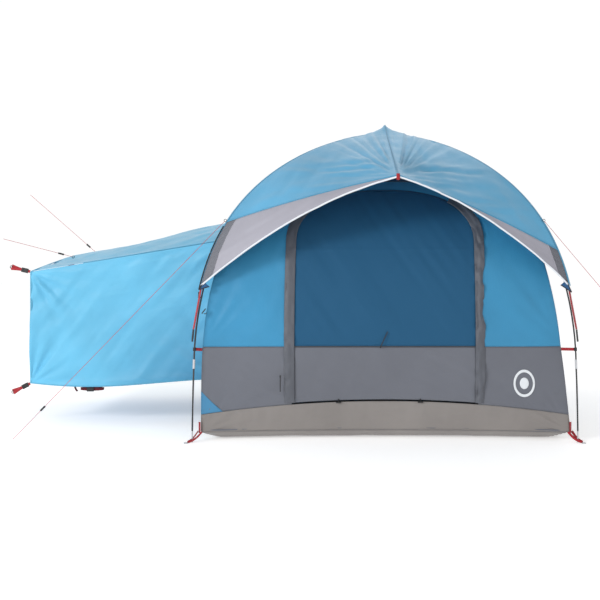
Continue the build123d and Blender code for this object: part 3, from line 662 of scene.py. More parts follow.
def gore(low, high, out, n, m, walls=None):
    """A grid over the front vault between two edges, each a height or a function of X. Rows run up."""
    share = np.linspace(-1.0, 1.0, m)
    z0, z1 = solve_edge(low, share, out), solve_edge(high, share, out)
    z = z0[None, :] + (z1 - z0)[None, :] * np.linspace(0, 1, n)[:, None]
    x = share[None, :] * half(z, out)
    return on_side(x, z, out) if walls is None else wall_points(x, z, out, walls)


def door_half(z, grow=0.0):
    """Half width of the D shaped doorway at a height."""
    wide = DOOR_HALF + grow
    t = np.clip((z - DOOR_SPRING) / (DOOR_RISE + grow), 0, 1)
    return wide * np.clip(1 - t**2.3, 0, 1) ** (1 / 2.3)


def door_arch(grow, count):
    """The doorway's outline from its left foot over the top to its right foot, as X and Z."""
    wide, rise = DOOR_HALF + grow, DOOR_RISE + grow
    a = np.linspace(0, math.pi, count)
    power = 2 / 2.3
    x = -np.sign(np.cos(a)) * np.abs(np.cos(a)) ** power * wide
    z = DOOR_SPRING + np.abs(np.sin(a)) ** power * rise
    return x, z


def along_path(points, count):
    """The same path with evenly spaced points."""
    points = np.asarray(points, float)
    step = np.concatenate([[0], np.cumsum(np.linalg.norm(np.diff(points, axis=0), axis=1))])
    even = np.linspace(0, step[-1], count)
    return np.stack([np.interp(even, step, points[:, k]) for k in range(points.shape[1])], axis=1)


def ribbon(name, path, side, width, material, body="tent", lift=0.0, thickness=0.0012, cross=3, crown=0.0):
    """A strap or tape along a path; side gives its width direction at each point."""
    path, side = np.asarray(path, float), np.asarray(side, float)
    side = np.broadcast_to(side, path.shape).copy()
    along = np.gradient(path, axis=0)
    along /= np.maximum(np.linalg.norm(along, axis=1, keepdims=True), 1e-9)
    side -= along * np.sum(side * along, axis=1, keepdims=True)
    side /= np.maximum(np.linalg.norm(side, axis=1, keepdims=True), 1e-9)
    out = np.cross(along, side)
    v = np.linspace(-0.5, 0.5, cross)
    rise = lift + crown * (1 - (2 * v) ** 2)
    points = path[:, None, :] + side[:, None, :] * (v * width)[None, :, None]
    points = points + out[:, None, :] * rise[None, :, None]
    made = grid_mesh(name, points, material, thickness)
    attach(made, body)
    return made


def tube(name, path, radius, material, body="tent", sides=10, ripple=None):
    """A round cord or piping along a path."""
    path = np.asarray(path, float)
    along = np.gradient(path, axis=0)
    along /= np.maximum(np.linalg.norm(along, axis=1, keepdims=True), 1e-9)
    up = np.where(np.abs(along[:, 2:3]) > 0.9, np.array([[1.0, 0.0, 0.0]]), np.array([[0.0, 0.0, 1.0]]))
    first = np.cross(along, up)
    first /= np.linalg.norm(first, axis=1, keepdims=True)
    second = np.cross(along, first)
    a = np.linspace(0, 2 * math.pi, sides + 1)
    size = np.full(len(path), radius) if ripple is None else radius * ripple
    size = size[:, None, None]
    around = first[:, None, :] * np.cos(a)[None, :, None] + second[:, None, :] * np.sin(a)[None, :, None]
    points = path[:, None, :] + size * around
    made = grid_mesh(name, points, material, 0.0)
    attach(made, body)
    return made


def block(name, centre, axes, size, material, body="tent", bevel=0.0012, cut=None):
    """A moulded piece with rounded edges: axes are its length, width and thickness directions."""
    l, w, t = (np.asarray(a, float) / np.linalg.norm(a) for a in axes)
    corners = [
        np.asarray(centre) + l * sx * size[0] / 2 + w * sy * size[1] / 2 + t * sz * size[2] / 2
        for sz in (-1, 1)
        for sx, sy in ((-1, -1), (1, -1), (1, 1), (-1, 1))
    ]
    faces = [(0, 3, 2, 1), (4, 5, 6, 7), (0, 1, 5, 4), (1, 2, 6, 5), (2, 3, 7, 6), (3, 0, 4, 7)]
    mesh = bpy.data.meshes.new(name)
    mesh.from_pydata([tuple(c) for c in corners], [], faces)
    mesh.materials.append(material)
    made = bpy.data.objects.new(name, mesh)
    bpy.context.scene.collection.objects.link(made)
    soft = made.modifiers.new("edges", "BEVEL")
    soft.width = bevel
    soft.segments = 3
    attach(made, body)
    return made


def unit(*vector):
    v = np.array(vector if len(vector) > 1 else vector[0], float)
    return v / np.linalg.norm(v)


# ---- inner tent ----


def round_opening(inner, count, across, share, quarters, skip=0):
    """A wall's grid from the edge of its opening out to the poles and the roof seam, where it skips end points."""
    base, top = BAND_TOP + SEAM, ROOF_START - SEAM
    heights = np.linspace(base, top, 60)
    left = [(-half(z, -WALL_GAP), z) for z in heights]
    right = [(half(z, -WALL_GAP), z) for z in heights[::-1]]
    shoulder = half(top, -WALL_GAP)
    roof = [(x, top) for x in np.linspace(-shoulder, shoulder, 60)[skip : 60 - skip]]
    side_count = int(count * share)
    over = along_path(roof, count - 2 * side_count + 2)[1:-1]
    outer = np.concatenate([along_path(left, side_count), over, along_path(right, side_count)])
    s = np.linspace(0, 1, across)[:, None, None]
    flat = along_path(inner, count)[None] * (1 - s) + outer[None] * s
    return wall_points(flat[..., 0], flat[..., 1], quarters=quarters)


def front_wall():
    """Upper wall round the doorway."""
    count, across = 220, 46
    base = BAND_TOP + SEAM
    ax, az = door_arch(ZIP_GAP, 120)
    inner = [(-(DOOR_HALF + ZIP_GAP), base)] + list(zip(ax, az)) + [(DOOR_HALF + ZIP_GAP, base)]
    reach = half(base, -WALL_GAP)
    points = round_opening(inner, count, across, 0.36, 0, skip=1)
    x, z = points[..., 0], points[..., 2]
    fold = 0.004 * folds(x, z, 68, 0.10, 0.55, 4) + 0.0045 * folds(x, z, -60, 0.13, 0.6, 9)
    fold += 0.010 * rays(x, z, (-reach, base), 22, 0.35, 2) + 0.010 * rays(x, z, (reach, base), 22, 0.35, 5)
    near_pole = np.exp(-((np.abs(x) - half(z, -WALL_GAP)) / 0.05) ** 2)
    fold += 0.003 * near_pole * np.sin(z * 70 + 3 * np.sin(z * 13))
    fade = edge_fade(across, count, width=0.06)
    cloth("front_upper_wall", points, paints["inner"], fold * fade, nodes=("front_wall",))


def corner_wrinkles(x, z, reach, seed, gain=1.0):
    """Tension folds that fan in from both lower corners of a side."""
    fan = rays(x, z, (-reach, RIM_BOTTOM), 26, 0.42, seed) + rays(x, z, (reach, RIM_BOTTOM), 26, 0.42, seed + 1)
    return gain * 0.010 * fan


SIDES = ("front", "right", "back", "left")
OPENINGS = {"front": DOOR_HALF + ZIP_GAP, "left": PASSAGE_HALF}  # half widths


def side_panels():
    """Rims, grey bands and blue walls of all four sides, and the netting roof over them."""
    base = BAND_TOP + SEAM
    for quarters, side in enumerate(SIDES):
        seed = 11 * quarters + 3
        rim = gore(RIM_BOTTOM, rim_top, -WALL_GAP, 16, 170, walls=quarters)
        x, z = rim[..., 0], rim[..., 2]
        push = corner_wrinkles(x, z, half(RIM_BOTTOM, -WALL_GAP), seed, 1.1)
        push = push + 0.005 * folds(x, z, 8, 0.05, 0.4, seed) + 0.004 * folds(x, z, 80, 0.05, 0.2, seed + 4)
        cloth(f"{side}_rim", turned(rim, quarters), paints["rim"], push * edge_fade(16, 170, width=0.05),
              nodes=("floor_rim",))
        if side in OPENINGS:
            for sign, part in ((-1.0, 1), (1.0, 2)):
                band_piece(side, part, sign, OPENINGS[side], quarters, seed)
            if side == "left":
                passage_wall(quarters, seed)
            continue
        band = gore(lambda x: rim_top(x) + 0.003, BAND_TOP - 0.0015, -WALL_GAP, 34, 150, walls=quarters)
        x, z = band[..., 0], band[..., 2]
        push = 0.004 * folds(x, z, 20, 0.08, 0.5, seed + 7)
        push = push + corner_wrinkles(x, z, half(0.1, -WALL_GAP), seed + 2, 0.6)
        cloth(f"{side}_lower_band", turned(band, quarters), paints["band"], push * edge_fade(34, 150, width=0.06),
              nodes=(f"{side}_band",))
        wall = gore(base, ROOF_START - 0.0015, -WALL_GAP, 90, 130, walls=quarters)
        x, z = wall[..., 0], wall[..., 2]
        push = 0.006 * folds(x, z, 62, 0.12, 0.7, seed + 5) + 0.006 * folds(x, z, -58, 0.15, 0.7, seed + 8)
        cloth(f"{side}_upper_wall", turned(wall, quarters), paints["inner"], push * edge_fade(90, 130, width=0.06),
              nodes=(f"{side}_wall",))
    for quarters, side in enumerate(SIDES):
        roof = gore(ROOF_START + 0.0015, POLE_CROWN - WALL_GAP - 0.030, -WALL_GAP, 50, 90)
        x, z = roof[..., 0], roof[..., 2]
        push = -0.010 * (1 - np.abs(np.linspace(-1, 1, 90))[None, :] ** 2) * edge_fade(50, 90, width=0.3)
        push = push + 0.002 * folds(x, z, 40, 0.1, 0.4, 30 + quarters)
        cloth(f"{side}_roof_net", turned(roof, quarters), paints["net"], push * edge_fade(50, 90, width=0.08),
              nodes=("roof_mesh",))


def band_piece(side, part, sign, inner, quarters, seed):
    """Half of a grey lower band, from a doorway's edge to the pole."""
    n, m = 34, 64
    t, s = np.linspace(0, 1, n)[:, None], np.linspace(0, 1, m)[None, :]
    edge_z = (RIM_CORNER + 0.003) * (1 - t) + (BAND_TOP - 0.0015) * t
    x = sign * (inner + (half(edge_z, -WALL_GAP) - inner) * s)
    z = (rim_top(x) + 0.003) * (1 - t) + (BAND_TOP - 0.0015) * t
    points = wall_points(x, z, quarters=quarters)
    push = 0.004 * folds(x, z, 30 * sign, 0.07, 0.5, seed + part)
    push = push + corner_wrinkles(x, z, half(RIM_BOTTOM, -WALL_GAP), seed, 0.8)
    cloth(f"{side}_band_{part}", turned(points, quarters), paints["band"], push * edge_fade(n, m, width=0.06),
          nodes=(f"{side}_band",))


def passage_wall(quarters, seed):
    """Upper wall round the way into the sleeve."""
    count, across = 180, 36
    base = BAND_TOP + SEAM
    inner = [
        (-PASSAGE_HALF, base),
        (-PASSAGE_HALF, PASSAGE_TOP),
        (0.0, PASSAGE_TOP + PASSAGE_PEAK),
        (PASSAGE_HALF, PASSAGE_TOP),
        (PASSAGE_HALF, base),
    ]
    points = round_opening(inner, count, across, 0.34, quarters)
    x, z = points[..., 0], points[..., 2]
    fold = 0.004 * folds(x, z, 60, 0.12, 0.6, seed) + 0.005 * folds(x, z, -60, 0.14, 0.6, seed + 2)
    fade = edge_fade(across, count, width=0.06)
    cloth("left_upper_wall", turned(points, quarters), paints["inner"], fold * fade, nodes=("left_wall",))


def groundsheet():
    """Floor: flat on the ground, and turned up to the rims all round."""
    n = 121
    u = np.linspace(-1, 1, n)
    edge = half(RIM_BOTTOM, -WALL_GAP) - 0.001
    a, b = np.meshgrid(u, u, indexing="ij")
    x = edge * a * (1 - (BOW_IN / edge) * (1 - b**2) * np.abs(a))
    y = edge * b * (1 - (BOW_IN / edge) * (1 - a**2) * np.abs(b))
    rise = np.clip((np.maximum(np.abs(a), np.abs(b)) - 0.90) / 0.10, 0, 1)
    z = 0.0008 + (RIM_BOTTOM - 0.002) * rise**1.6
    points = np.stack([x, y, z], axis=-1)
    wrinkle = 0.004 * np.abs(folds(x, y, 35, 0.18, 0.7, 71)) + 0.003 * np.abs(folds(x, y, -50, 0.2, 0.6, 75))
    cloth("groundsheet", points, paints["rim"], wrinkle * edge_fade(n, n, width=0.02), (0.0, 0.0, -5.0),
          nodes=("floor_sheet",))


TAPE_STAND = 0.0025  # how far the seam tapes lie inside the walls
TAPE_WIDTH = 0.016


def seam_tapes():
    """Tapes inside the tent over the seams between the panels of its four sides."""
    seams = (
        ("floor", lambda x: RIM_BOTTOM + 0.004 + 0 * x, False),
        ("rim", lambda x: rim_top(x) + SEAM, True),
        ("band", lambda x: BAND_TOP + 0 * x, True),
        ("roof", lambda x: ROOF_START + 0 * x, False),
    )
    for quarters, side in enumerate(SIDES):
        for seam, height, split in seams:
            start = OPENINGS.get(side, 0.0) if split else 0.0
            corner = half(height(half(RIM_CORNER, -WALL_GAP)), -WALL_GAP - TAPE_STAND)
            for sign, end in ((-1, "a"), (1, "b")):
                x = sign * np.linspace(start, corner, 60)
                path = turned(wall_points(x, height(x), -WALL_GAP - TAPE_STAND, quarters), quarters)
                ribbon(f"{side}_{seam}_tape_{end}", path, (0, 0, 1), TAPE_WIDTH, paints["band"], thickness=0.0006)


def front_door():
    """D shaped door: grey lower panel and netting window."""
    m = 90
    s = np.linspace(-1, 1, m)[None, :]
    inset = DOOR_HALF - 0.001
    t = np.linspace(0, 1, 40)[:, None]
    x = inset * s * np.ones_like(t)
    z = (rim_top(x) + ZIP_GAP) * (1 - t) + (BAND_TOP - 0.0015) * t
    lower = wall_points(x, z)
    push = 0.004 * folds(x, z, -25, 0.08, 0.5, 21) + 0.003 * folds(x, z, 70, 0.10, 0.5, 22)
    cloth("door_lower_panel", lower, paints["band"], push * edge_fade(40, m, width=0.05), body="door",
          nodes=("door_lower",))
    rows = 110
    low, top = BAND_TOP + 0.0015, DOOR_SPRING + DOOR_RISE - 0.004
    t = np.sin(np.linspace(0, 1, rows) * math.pi / 2)[:, None] ** 0.9
    z = low + (top - low) * t
    x = s * np.maximum(door_half(z), 0.02)
    z = z * np.ones_like(x)
    upper = wall_points(x, z)
    push = 0.007 * folds(x, z, -55, 0.09, 0.75, 31) + 0.003 * folds(x, z, 50, 0.10, 0.5, 34)
    cross = np.exp(-(((z - 1.244) / 0.008) ** 2))
    push = push * edge_fade(rows, m, width=0.07) + 0.0015 * cross
    cloth("door_net", upper, paints["net"], push, body="door", nodes=("door_mesh",))


# ---- fly ----


def pole_path(sign, high, low, count, back=False):
    """The fly's edge over a pole, between two heights, evenly spaced."""
    z = np.linspace(high, low, 400)
    w = half(z, FLY_GAP)
    points = np.stack([sign * (w - 2 * SEAM), -w - 2 * SEAM, z], axis=1)
    return along_path(points, count)


def fly_hem(x):
    reach = half(FLY_CORNER, FLY_GAP)
    return FLY_CORNER + (FLY_ARCH - FLY_CORNER) * (1 - np.minimum(np.abs(x) / reach, 1.0) ** 2)


def fly_gores():
    """Roof cover over the right, back and left sides: gores with arched hems, pulled tight to the poles."""
    for name, quarters in (("right", 1), ("back", 2), ("left", 3)):
        n, m = 110, 130
        panel = lifted(gore(fly_hem, POLE_CROWN + FLY_GAP - 0.0015, FLY_GAP, n, m))
        x, z = panel[..., 0], panel[..., 2]
        s = np.linspace(-1, 1, m)[None, :]
        up = np.linspace(0, 1, n)[:, None]
        push = -0.016 * (1 - s**2) * np.sin(math.pi * np.clip(up, 0, 1)) ** 0.8
        push = push + 0.006 * folds(x, z, 58, 0.10, 0.8, 41 + quarters)
        push = push + 0.006 * folds(x, z, -58, 0.12, 0.8, 51 + quarters)
        push = push + 0.010 * rays(x, z, (0.0, 2.14), 26, 0.55, 47 + quarters)
        fade = edge_fade(n, m, rows=(0, 1), columns=(1, 1), width=0.05)
        cloth(f"fly_{name}_panel", turned(panel, quarters), paints["fly"], push * fade, nodes=(f"fly_{name}",))
        edge = turned(panel[0], quarters)
        up_way = turned(unit(0.0, 0.35, 1.0), quarters)
        ribbon(f"fly_{name}_binding", edge + up_way * 0.004, up_way, 0.012, paints["binding"], thickness=0.0032)


# long creases that run out from the apex: height above it, length and depth
CREASES = {
    "left": (
        (0.075, 0.62, 0.012),
        (0.115, 0.66, 0.009),
        (0.030, 0.50, 0.007),
        (-0.020, 0.66, 0.006),
        (-0.075, 0.80, 0.006),
    ),
    "right": (
        (0.070, 0.60, 0.013),
        (0.020, 0.52, 0.006),
        (-0.055, 0.62, 0.006),
        (-0.150, 0.80, 0.007),
        (-0.215, 0.90, 0.007),
    ),
}
CROWN_LIFT = 0.026
CROWN_SPREAD = 0.24


def lifted(points):
    """The cloth is drawn up to a small peak where the brow pole meets the crossing."""
    reach = np.hypot(points[..., 0] - RIDGE_BACK[0], points[..., 1] - RIDGE_BACK[1])
    lift = CROWN_LIFT * np.clip(1 - reach / CROWN_SPREAD, 0, 1) ** 1.2
    return points + lift[..., None] * np.array([0.0, 0.0, 1.0])


def visor():
    """Front visor: two halves sewn along the ridge, held out by the brow pole, with a pale trim below the seam."""
    n, m = 90, 90
    t = np.linspace(0, 1, n)[:, None, None]
    s = np.linspace(0, 1, m)[None, :, None]
    for name, sign, low in (("left", -1, VISOR_LEFT), ("right", 1, VISOR_RIGHT)):
        edge = pole_path(sign, POLE_CROWN + FLY_GAP - 0.004, low, n)
        inner = RIDGE_BACK * (1 - t[:, 0]) + APEX * t[:, 0] + np.array([sign * SEAM, 0, 0])
        points = inner[:, None] * (1 - s) + edge[:, None] * s
        arch = 4 * s * (1 - s)
        swell = VISOR_SWELL * t * arch
        points = lifted(points + swell * np.array([0.0, -1.0, 1.0]))
        x, z = points[..., 0], points[..., 2]
        from_apex = s[..., 0] * np.ones_like(x)
        reach = np.hypot(x - APEX[0], z - APEX[2])
        angle = np.arctan2(z - APEX[2], sign * (x - APEX[0]))
        fan = lumps(angle * 9, reach * 0.8, 61 + sign) + 0.6 * lumps(angle * 21, reach * 1.3, 65 + sign)
        push = 0.012 * fan * np.exp(-reach / 0.60) * np.clip(reach / 0.12, 0, 1)
        for height, far, deep in CREASES[name]:
            span = np.clip(sign * (x - APEX[0]) / far, 0, 1)
            line = APEX[2] + height * np.minimum(span * 4, 1) ** 0.7 - 0.02 * span
            wide = 0.010 + 0.012 * span
            push = push - deep * np.exp(-(((z - line) / wide) ** 2)) * np.sin(math.pi * span) ** 0.7
            crest = np.exp(-(((z - line - 2.1 * wide) / (1.6 * wide)) ** 2))
            push = push + 0.7 * deep * crest * np.sin(math.pi * span)
        push = push + 0.007 * folds(x, z, 24 * -sign, 0.09, 0.9, 67 + sign) * np.clip(reach, 0, 1)
        push = push + 0.006 * folds(x, z, 62 * -sign, 0.09, 0.6, 69 + sign)
        near_ridge = np.exp(-from_apex / 0.10)
        push = push + 0.004 * near_ridge * np.sin(40 * t[..., 0])
        fade = edge_fade(n, m, rows=(0, 1), columns=(1, 1), width=0.07)
        cloth(f"visor_{name}_half", points, paints["fly"], push * fade, nodes=(f"visor_{name}",))
        seam_line = points[-1]
        ribbon(f"visor_{name}_seam", seam_line, unit(0.0, -0.45, 1.0), 0.013, paints["seam"], thickness=0.0024,
               lift=0.0006)
        trim(name, sign, low)
    ridge = np.array([RIDGE_BACK * (1 - k) + APEX * k for k in np.linspace(0, 1, 40)])
    tube("ridge_piping", lifted(ridge) + np.array([0, 0, 0.001]), 0.0032, paints["seam"])


MESH_BAND = 0.075


def trim(name, sign, low):
    """Pale panel between the visor's seam and its hem; its outer end over the pole is a darker netting band."""
    rows, across = 150, 26
    side = pole_path(sign, low - 2 * SEAM, FLY_CORNER, across)
    t = np.linspace(0, 1, rows)[:, None, None]
    s = np.linspace(0, 1, across)[None, :, None]
    top = np.array([APEX[0] + sign * SEAM, APEX[1], APEX[2] - 2 * SEAM])
    tip = np.array([APEX[0] + sign * SEAM, APEX[1], APEX[2] - TRIM_LIP])
    seam = side[0] * (1 - t) + top * t + VISOR_SWELL * 4 * t * (1 - t) * np.array([0.0, -1.0, 1.0])
    hem = side[-1] * (1 - t) + tip * t + np.array([0, 0, 1]) * TRIM_ARCH * 4 * t * (1 - t)
    chord = side[0] * (1 - s) + side[-1] * s
    points = seam * (1 - s) + hem * s + (side[None] - chord) * (1 - t)
    x, z = points[..., 0], points[..., 2]
    push = 0.006 * folds(x, z, -30 * sign, 0.05, 0.5, 81 + sign)
    push = push + 0.004 * folds(x, z, -62 * sign, 0.06, 0.3, 84 + sign)
    push = push * edge_fade(rows, across, rows=(1, 1), columns=(1, 0), width=0.08)
    length = float(np.linalg.norm(top - side[0]))
    split = max(int(round(rows * MESH_BAND / length)), 3)
    n = normals(points, MIDDLE)
    outer_end = np.clip(1 - np.arange(rows) / (split + 2), 0, 1)[:, None]
    pleats = 0.0028 * np.sin(z * 190 + 2 * np.sin(x * 40)) * outer_end
    shaped = points + n * (push + pleats * edge_fade(rows, across, width=0.02))[..., None]
    cloth(f"trim_{name}_panel", shaped[split:], paints["trim"], nodes=(f"visor_trim_{name}",))
    cloth(f"trim_{name}_netting", shaped[: split + 1], paints["mesh_band"], nodes=(f"visor_trim_{name}",))
    ribbon(f"trim_{name}_netting_tape", shaped[split], unit(sign, 0.0, -0.3), 0.006, paints["trim"],
           thickness=0.002, lift=0.001)
    ribbon(f"hem_{name}", shaped[:, -1], unit(0.0, -0.3, 1.0), 0.011, paints["hem"], thickness=0.0032)


def fly_seams():
    """Flat felled seams over the poles, and the small patch at the crown."""
    z = np.linspace(1.40, 0.985, 60)
    w = half(z, FLY_GAP)
    path = np.stack([-w - 0.002, -w - 0.004, z], axis=1)
    tube("fly_left_edge_binding", path, 0.0052, paints["binding"])
    for i, (sx, sy) in enumerate(((-1, -1), (1, -1), (1, 1), (-1, 1))):
        z = np.linspace(POLE_CROWN + FLY_GAP - 0.006, FLY_CORNER, 400)
        w = half(z, FLY_GAP)
        path = along_path(np.stack([sx * w, sy * w, z], axis=1), 120)
        path = lifted(path + unit(sx, sy, 0.0) * 0.0015)
        ribbon(f"fly_seam_{i}", path, unit(-sy, sx, 0.0), 0.016, paints["seam"], thickness=0.0018, lift=0.0)
    a = np.linspace(0, 2 * math.pi, 49)
    r = np.linspace(0.002, 0.075, 12)
    top = POLE_CROWN + FLY_GAP + 0.006
    x, y = r[:, None] * np.cos(a)[None], r[:, None] * np.sin(a)[None]
    z = top - 0.010 * (r[:, None] / 0.075) ** 2 + 0 * x
    made = grid_mesh("crown_patch", lifted(np.stack([x, y, z], axis=-1)), paints["seam"], 0.0015)
    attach(made, "tent")


# ---- sleeve ----


def sleeve_start(z):
    return half(z, SLEEVE_START - WALL_GAP)


def sleeve_side(t, side, rise):
    low = SLEEVE_LOW_IN * (1 - t) + SLEEVE_LOW_OUT * t
    high = SLEEVE_HIGH_IN * (1 - t) + SLEEVE_HIGH_OUT * t
    z = low * (1 - rise) + high * rise
    start = sleeve_start(SLEEVE_LOW_IN * (1 - rise) + SLEEVE_HIGH_IN * rise)
    x = -(start * (1 - t) + SLEEVE_LENGTH * t)
    y = side * (SLEEVE_HALF_IN * (1 - t) + SLEEVE_HALF_OUT * t) + 0 * z
    return np.stack(np.broadcast_arrays(x, y, z), axis=-1)


def sleeve_top(t, v):
    width = SLEEVE_HALF_IN * (1 - t) + SLEEVE_HALF_OUT * t - SEAM
    edge = SLEEVE_HIGH_IN * (1 - t) + SLEEVE_HIGH_OUT * t + SEAM
    ridge = SLEEVE_RIDGE_IN * (1 - t) + SLEEVE_RIDGE_OUT * t
    share = np.abs(v) ** 1.4
    z = ridge * (1 - share) + edge * share
    start = sleeve_start(SLEEVE_RIDGE_IN * (1 - share) + SLEEVE_HIGH_IN * share)
    end = SLEEVE_LENGTH - SLEEVE_SET_BACK * (1 - share)
    return np.stack(np.broadcast_arrays(-(start * (1 - t) + end * t), v * width, z), axis=-1)


def sleeve():
    """Four sided sleeve: it hangs from the tent and from four straps, so its panels crease along the pull."""
    n, m = 130, 100
    t, r = np.linspace(0, 1, n)[:, None], np.linspace(0.002, 0.998, m)[None, :]
    for name, side in (("front", -1), ("back", 1)):
        points = sleeve_side(t, side, r)
        x, z = points[..., 0], points[..., 2]
        corners = (
            (-SLEEVE_LENGTH, SLEEVE_LOW_OUT),
            (-SLEEVE_LENGTH, SLEEVE_HIGH_OUT),
            (-1.15, SLEEVE_LOW_IN),
            (-1.05, SLEEVE_HIGH_IN),
        )
        push = sum(0.020 * rays(x, z, c, 18, 0.55, 90 + k + side) for k, c in enumerate(corners))
        push = push + 0.011 * folds(x, z, 36, 0.12, 0.9, 95 + side) + 0.008 * folds(x, z, 52, 0.08, 0.7, 99 + side)
        push = push + 0.004 * folds(x, z, 12, 0.045, 0.35, 105 + side) * np.clip(z - 0.55, 0, 1)
        inward = -0.020 * np.sin(math.pi * r) * np.sin(math.pi * t)
        sag = 0.036 * np.sin(math.pi * t**1.5) * (1 - r) ** 3
        points = points - np.stack([0 * sag, 0 * sag, sag], axis=-1)
        fade = edge_fade(n, m, rows=(1, 0), columns=(1, 1), width=0.06)
        cloth(f"sleeve_{name}_panel", points, paints["sleeve"], (push + inward) * fade, (-1.8, 0.0, 0.75),
              nodes=(f"sleeve_{name}",))
        mouth = points[-1]
        ribbon(f"sleeve_{name}_mouth_hem", mouth + np.array([0.006, 0, 0]), (1.0, 0.0, 0.0), 0.014,
               paints["sleeve_seam"], thickness=0.003)
        low_edge = points[:, 0] + np.array([0, 0, 0.002])
        ribbon(f"sleeve_{name}_low_seam", low_edge, (0.0, 0.0, 1.0), 0.008, paints["sleeve_seam"],
               thickness=0.0026)
    v = np.linspace(-1, 1, 110)[None, :]
    roof = sleeve_top(t, v)
    x, y = roof[..., 0], roof[..., 1]
    push = 0.010 * folds(x, y, 30, 0.13, 0.8, 111) + 0.010 * folds(x, y, -35, 0.15, 0.8, 114)
    push = push - 0.012 * np.sin(math.pi * t) * (1 - np.abs(v))
    fade = edge_fade(n, 110, rows=(1, 0), width=0.06)
    cloth("sleeve_roof_panel", roof, paints["sleeve"], push * fade, (-1.8, 0, 0.7), nodes=("sleeve_roof",))
    ribbon("sleeve_roof_mouth_hem", roof[-1] + np.array([0.006, 0, 0]), (1.0, 0.0, 0.0), 0.014,
           paints["sleeve_seam"], thickness=0.003)
    for name, column in (("front", 0), ("back", -1)):
        tube(f"sleeve_{name}_roof_piping", roof[:, column] + np.array([0, 0, 0.001]), 0.0016, paints["sleeve"])
    floor = sleeve_side(t, 1, np.zeros((1, 1)))
    u = np.linspace(-1, 1, 80)[None, :]
    x = floor[..., 0] + 0.030 * t + 0 * u
    y = u * (floor[..., 1] - 2 * SEAM)
    z = floor[..., 2] - 0.036 * np.sin(math.pi * t**1.5) - 0.030 * np.sin(math.pi * t) * (1 - u**2) + 0 * u
    points = np.stack([x, y, z], axis=-1)
    push = 0.006 * folds(x, y, 25, 0.15, 0.8, 121)
    cloth("sleeve_floor_panel", points, paints["sleeve_floor"], push * edge_fade(n, 80, rows=(1, 0), width=0.08),
          (-1.8, 0, 0.7), nodes=("sleeve_floor",))


# ---- zips and storm flaps ----


def storm_flaps():
    """Grey zip covers that follow the doorway's outline up both sides. The right one hangs crumpled."""
    n, m = 260, 14
    for sign, name in ((-1, "left"), (1, "right")):
        low = float(rim_top(np.array(DOOR_HALF))) + ZIP_GAP
        ax, az = door_arch(0.0, 241)
        keep = (az <= 1.570) & (ax < 0)
        line = along_path([(-DOOR_HALF, low)] + list(zip(ax[keep], az[keep])), n)
        way = np.gradient(line, axis=0)
        way /= np.linalg.norm(way, axis=1, keepdims=True)
        outward = np.stack([-way[:, 1], way[:, 0]], axis=1)
        u = np.linspace(0, 1, m)
        width = np.full(n, 0.064)
        if sign > 0:
            crumpled = np.clip((1.25 - line[:, 1]) / 0.2, 0, 1)
            width = width - crumpled * (0.012 + 0.012 * lumps(line[:, 1] * 12, 0 * line[:, 1], 7))
            width = width - crumpled * 0.004 * lumps(line[:, 1] * 31, 0 * line[:, 1], 8)
        reach = -0.008 + (width[:, None] + 0.004) * u[None]
        x = -sign * (line[:, :1] + outward[:, :1] * reach)
        z = line[:, 1:] + outward[:, 1:] * reach
        points = wall_points(x, z, 0.004 - WALL_GAP)
        gain = 0.006 if sign < 0 else 0.013
        uu = np.broadcast_to(u[None], x.shape)
        push = gain * np.abs(lumps(uu * 1.6 + 3, z * 9, 131 + sign))
        push = push + 0.5 * gain * lumps(uu * 3, z * 23, 135 + sign)
        push = push + 0.006 * np.sin(math.pi * uu)
        cloth(f"storm_flap_{name}", points, paints["flap"], push, nodes=("storm_flaps",))


def zips():
    """Tape and coil round the doorway, and the straight chain between the door's two panels."""
    middle = ZIP_GAP / 2
    ax, az = door_arch(middle, 150)
    low = float(rim_top(np.array(DOOR_HALF))) + ZIP_GAP
    outline = [(-(DOOR_HALF + middle), low)] + list(zip(ax, az)) + [(DOOR_HALF + middle, DOOR_SPRING)]
    flat = along_path(outline, 900)
    path = wall_points(flat[:, 0], flat[:, 1])
    along = np.gradient(path, axis=0)
    side = np.cross(along, np.array([0.0, 1.0, 0.0]))
    tape = ribbon("door_zip_tape", path, side, 0.011, paints["net"], thickness=0.0010, lift=0.0)
    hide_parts("door_zip")
    ripple = 1 + 0.18 * np.sin(np.arange(900) * math.pi)
    tube("door_zip_coil", path + np.array([0, -0.001, 0]), 0.0016, paints["zip_blue"], ripple=ripple, sides=8)
    x = np.linspace(-(DOOR_HALF - 0.006), DOOR_HALF - 0.006, 500)
    path = wall_points(x, np.full_like(x, BAND_TOP)) + np.array([0, -0.0012, 0])
    ribbon("window_zip_tape", path, (0, 0, 1), 0.009, paints["flap"], body="door", thickness=0.0008)
    ripple = 1 + 0.18 * np.sin(np.arange(500) * math.pi)
    tube("window_zip_coil", path + np.array([0, -0.0012, 0]), 0.0019, paints["zip"], body="door",
         ripple=ripple, sides=8)


# ---- webbing and fittings ----


